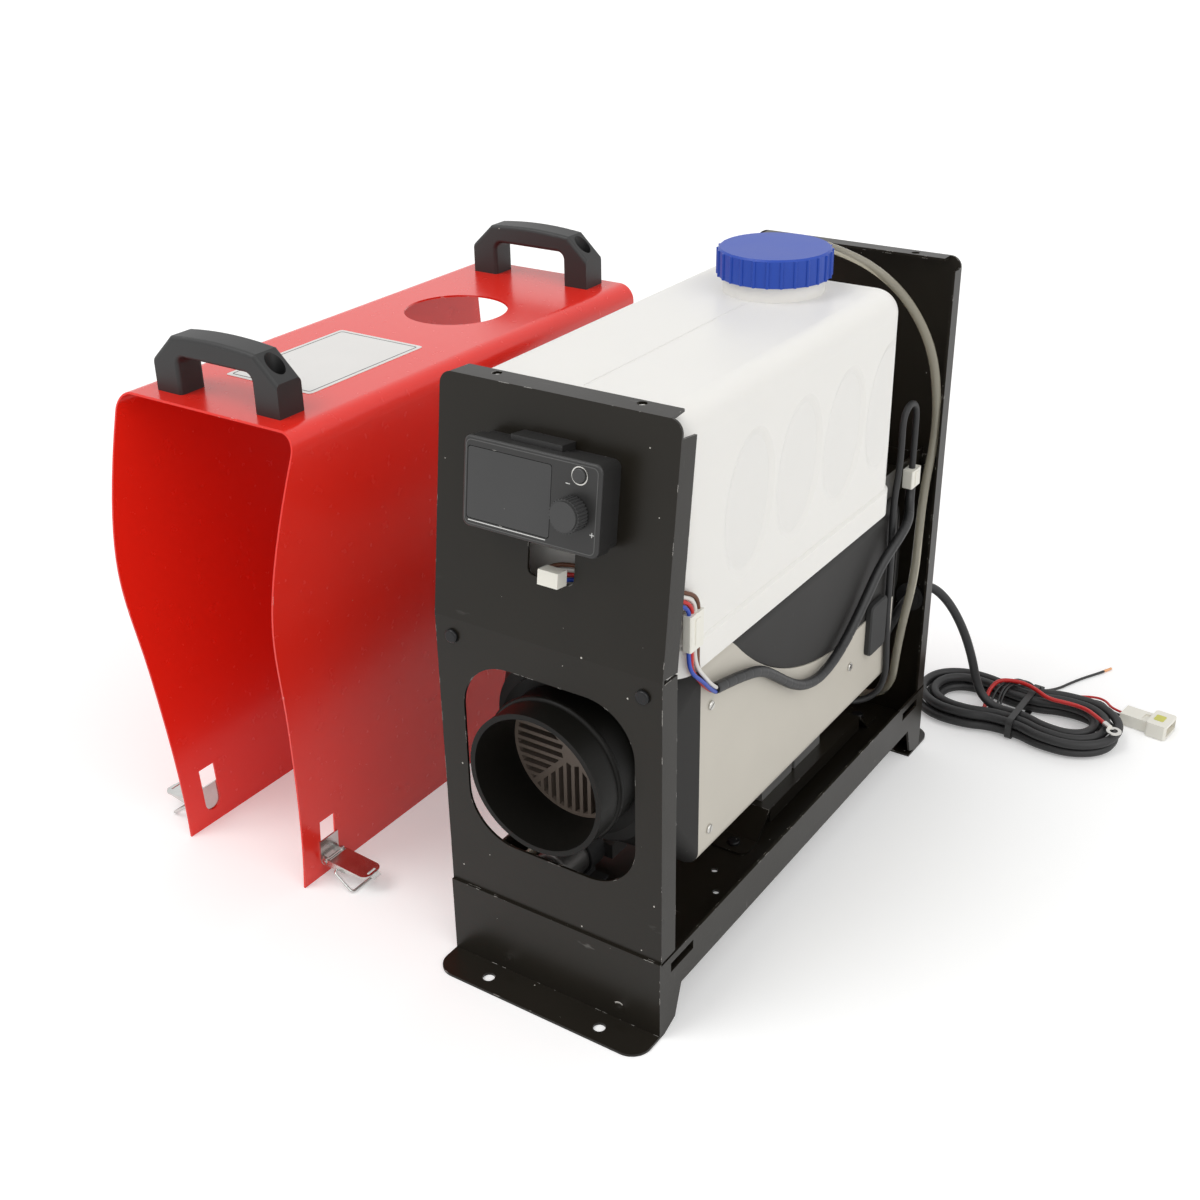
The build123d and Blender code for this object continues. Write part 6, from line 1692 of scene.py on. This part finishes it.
    def plug_route(self, shift: float, out: float, lift: float) -> tuple[Point, ...]:
        """Route of one wire of the pair that ends in the connector.

        Args:
            shift: Sideways place in the pair, in millimetres.
            out: Offset across the sleeve's end.
            lift: Offset up at the sleeve's end.

        Returns:
            The route's points.
        """
        s = shift  # short, because nearly every point leans on it
        turn = Matrix.Rotation(math.radians(self.connector_turn), 3, "Z")
        back = Vector(self.connector_at) + turn @ Vector((0.0, 2 * s, 0.0))
        before = back + turn @ Vector((-9.0, 0.0, 0.0))
        return (
            (self.sleeve_end_x, 227.01 + out, self.low_z + lift),
            (88.0, 227.01 + out, self.low_z + lift),
            (97 - 0.8 * s, 231, 4.8 + lift),
            (103 - 1.2 * s, 238.2, 3.9),
            (101.2 - s, 247, 7.2),
            (101 - s, 253.2, 13.8),
            (102 - s, 260.6, 16.8),
            (106.5 - s, 271, 16.5),
            (110.5 - s, 279.5, 14),
            (115 - s, 285.5 + 0.9 * s, 7),
            (124, 287.5 + 1.1 * s, 2.4),
            (137, 291 + 3 * s, 1.5),
            (151, 300 + 2.5 * s, 2.2),
            (163, 299 + 2 * s, 4),
            tuple(before),
            tuple(back),
        )

    def _boot(self, line: Sequence[Vector]) -> Build:
        """Tapered rubber strain relief with four grooves.

        Args:
            line: The cord's centreline.

        Returns:
            The boot's skin.
        """
        path = even_steps(line, FINEST_STEP, 0.0, self.boot_length * MM)
        first, last = self.grooved

        def radius(share: float) -> float:
            """Radius that falls along the boot, less at each groove.

            Args:
                share: Place along the line, from 0 to 1.

            Returns:
                The radius in metres.
            """
            size = self.boot_radius + (self.radius + self.boot_end - self.boot_radius) * share
            groove = first < share < last and (share * self.groove_rate) % 1.0 < self.groove_share
            return (size - (self.groove_depth if groove else 0.0)) * MM

        return tube(path, radius, self.boot_sides)

    def _collar(self, line: Sequence[Vector]) -> Build:
        """Heat-shrink collar over the sleeve's end.

        Args:
            line: The cord's centreline.

        Returns:
            The collar's skin.
        """
        total = line_length(line)
        path = even_steps(line, FINEST_STEP, total - self.collar_length * MM, total)

        def radius(share: float) -> float:
            """Radius that swells over the sleeve and closes round the wires.

            Args:
                share: Place along the line, from 0 to 1.

            Returns:
                The radius in metres.
            """
            close = max(0.0, share - self.collar_closes) * 3.0
            start = max(0.0, self.collar_flare - share) / self.collar_flare
            lost = self.collar_tip * close**2 + self.collar_lip * start
            return (self.radius + self.collar_thick - lost) * MM

        return tube(path, radius, self.collar_sides)

    def _connector_parts(self, bench: Bench) -> None:
        """Adds the connector's contact blades and its yellow lock.

        Args:
            bench: Makes the pieces.
        """
        turn = Matrix.Rotation(math.radians(self.connector_turn), 3, "Z")
        origin = Vector(self.connector_at)

        def place(x: float, y: float, height: float) -> Vector:
            """Point in the connector's own frame, in metres."""
            return (origin + turn @ Vector((x, y, height))) * MM

        build = bmesh.new()
        half = self.blade_half
        for y in (-self.blade_off, self.blade_off):
            blade = rounded(self.blade_x, y, *self.blade_size, self.blade_corner)
            prism(build, blade, place, -half, half)
        bench.mesh("connector_contacts", build, Tag("heater", "terminal_tin", "contact_brass"))
        build = bmesh.new()
        lock = rounded(self.lock_x, 0.0, *self.lock_size, self.lock_corner)
        prism(build, lock, place, *self.lock_heights)
        bench.mesh("connector_lock", build, Tag("heater", "connector_white", "lock_yellow"))


# ================================================================== cover
@dataclass
class CoverDetails:
    """Blank plate on the cover's top and the screws in its handles."""

    plate_x: Flat = (-271.6, -203.5)
    plate_y: Flat = (-114.0, -12.0)
    top: float = 300.0
    plate_thick: float = 0.28
    plate_corner: float = 2.5
    line_inset: float = 2.6
    line_width: float = 0.7
    line_proud: float = 0.06
    line_corners: Flat = (2.0, 1.4)
    sunk: float = 0.1
    centre_x: float = -236.5
    screw_off: float = 39.5
    screw_rows: tuple[float, ...] = (-144.5, 155.0)
    pocket_floor: float = 307.0
    head_radius: float = 4.3
    head_height: float = 2.7
    socket_radius: float = 1.9
    socket_depth: float = 1.6

    def build(self, bench: Bench) -> None:
        """Adds the plate, its border and the handle screws.

        Args:
            bench: Makes the pieces.
        """
        x = sum(self.plate_x) / 2
        y = sum(self.plate_y) / 2
        width = self.plate_x[1] - self.plate_x[0]
        depth = self.plate_y[1] - self.plate_y[0]

        def place(across: float, along: float, height: float) -> Vector:
            """Point on the cover's top, in metres."""
            return Vector((across, along, self.top + height)) * MM

        build = bmesh.new()
        prism(build, rounded(x, y, width, depth, self.plate_corner), place, -self.sunk, self.plate_thick)
        bench.mesh("blank_plate", build, Tag("cover", "connector_white", "blank_plate"))
        build = bmesh.new()
        inset, line = 2 * self.line_inset, 2 * self.line_width
        outer = rounded(x, y, width - inset, depth - inset, self.line_corners[0])
        inner = rounded(x, y, width - inset - line, depth - inset - line, self.line_corners[1])
        low, high = self.plate_thick - self.sunk, self.plate_thick + self.line_proud
        prism(build, outer, place, low, high, inner)
        bench.mesh("blank_plate_border", build, Tag("cover", "handle_black", "plate_line"))
        self._screws(bench)

    def _screws(self, bench: Bench) -> None:
        """Adds the four hex-socket screws in the handles' pockets.

        Args:
            bench: Makes the piece.
        """
        build = bmesh.new()
        radius, height = self.head_radius, self.head_height
        socket, depth = self.socket_radius, self.socket_depth
        profile = (
            (radius, -self.sunk), (radius, 0.6), (radius * 0.93, height * 0.62),
            (radius * 0.72, height * 0.92), (radius * 0.52, height), (socket, height),
            (socket, height - depth),
        )
        for y in self.screw_rows:
            for side in (-1.0, 1.0):
                centre = (self.centre_x + side * self.screw_off, y, self.pocket_floor)
                lathe(build, profile, centre, (0.0, 0.0, 1.0), 36, hexed=2)
        bench.mesh("handle_screws", build, Tag("cover", "latch_steel", "screw_steel"))


# ================================================================== all together
def clear_startup() -> None:
    """Removes whatever the empty start-up scene held, such as its default cube."""
    known = {*frame["nodes"].values(), *frame["bodies"].values()}
    for stray in [item for item in bpy.data.objects if item not in known]:
        bpy.data.objects.remove(stray)


def dress_nodes(shop: PaintShop) -> None:
    """Gives every CAD node its own finish, or the one of its record slot.

    Args:
        shop: Where materials come from.
    """
    for name, node in frame["nodes"].items():
        for held in node.material_slots:
            look = OWN_FINISH.get(name, held.material.name.split(".")[0])
            if look in FINISHES:
                held.material = shop.material(look)
                LOG.info("node %s has finish %s", name, look)


def main() -> None:
    """Builds the studio and every visible piece, in order."""
    logging.basicConfig(level=logging.INFO, format="%(message)s")
    clear_startup()
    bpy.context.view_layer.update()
    shop = PaintShop()
    bench = Bench(shop)
    Studio().build()
    dress_nodes(shop)
    face = ControllerFace()
    for assembly in (
        FrameDetails(),
        CoreDetails(),
        TankDetails(),
        FuelLine(),
        face,
        HeaterLeads(face),
        PowerCord(),
        CoverDetails(),
    ):
        LOG.info("building %s", type(assembly).__name__)
        assembly.build(bench)


if __name__ == "__main__":
    main()
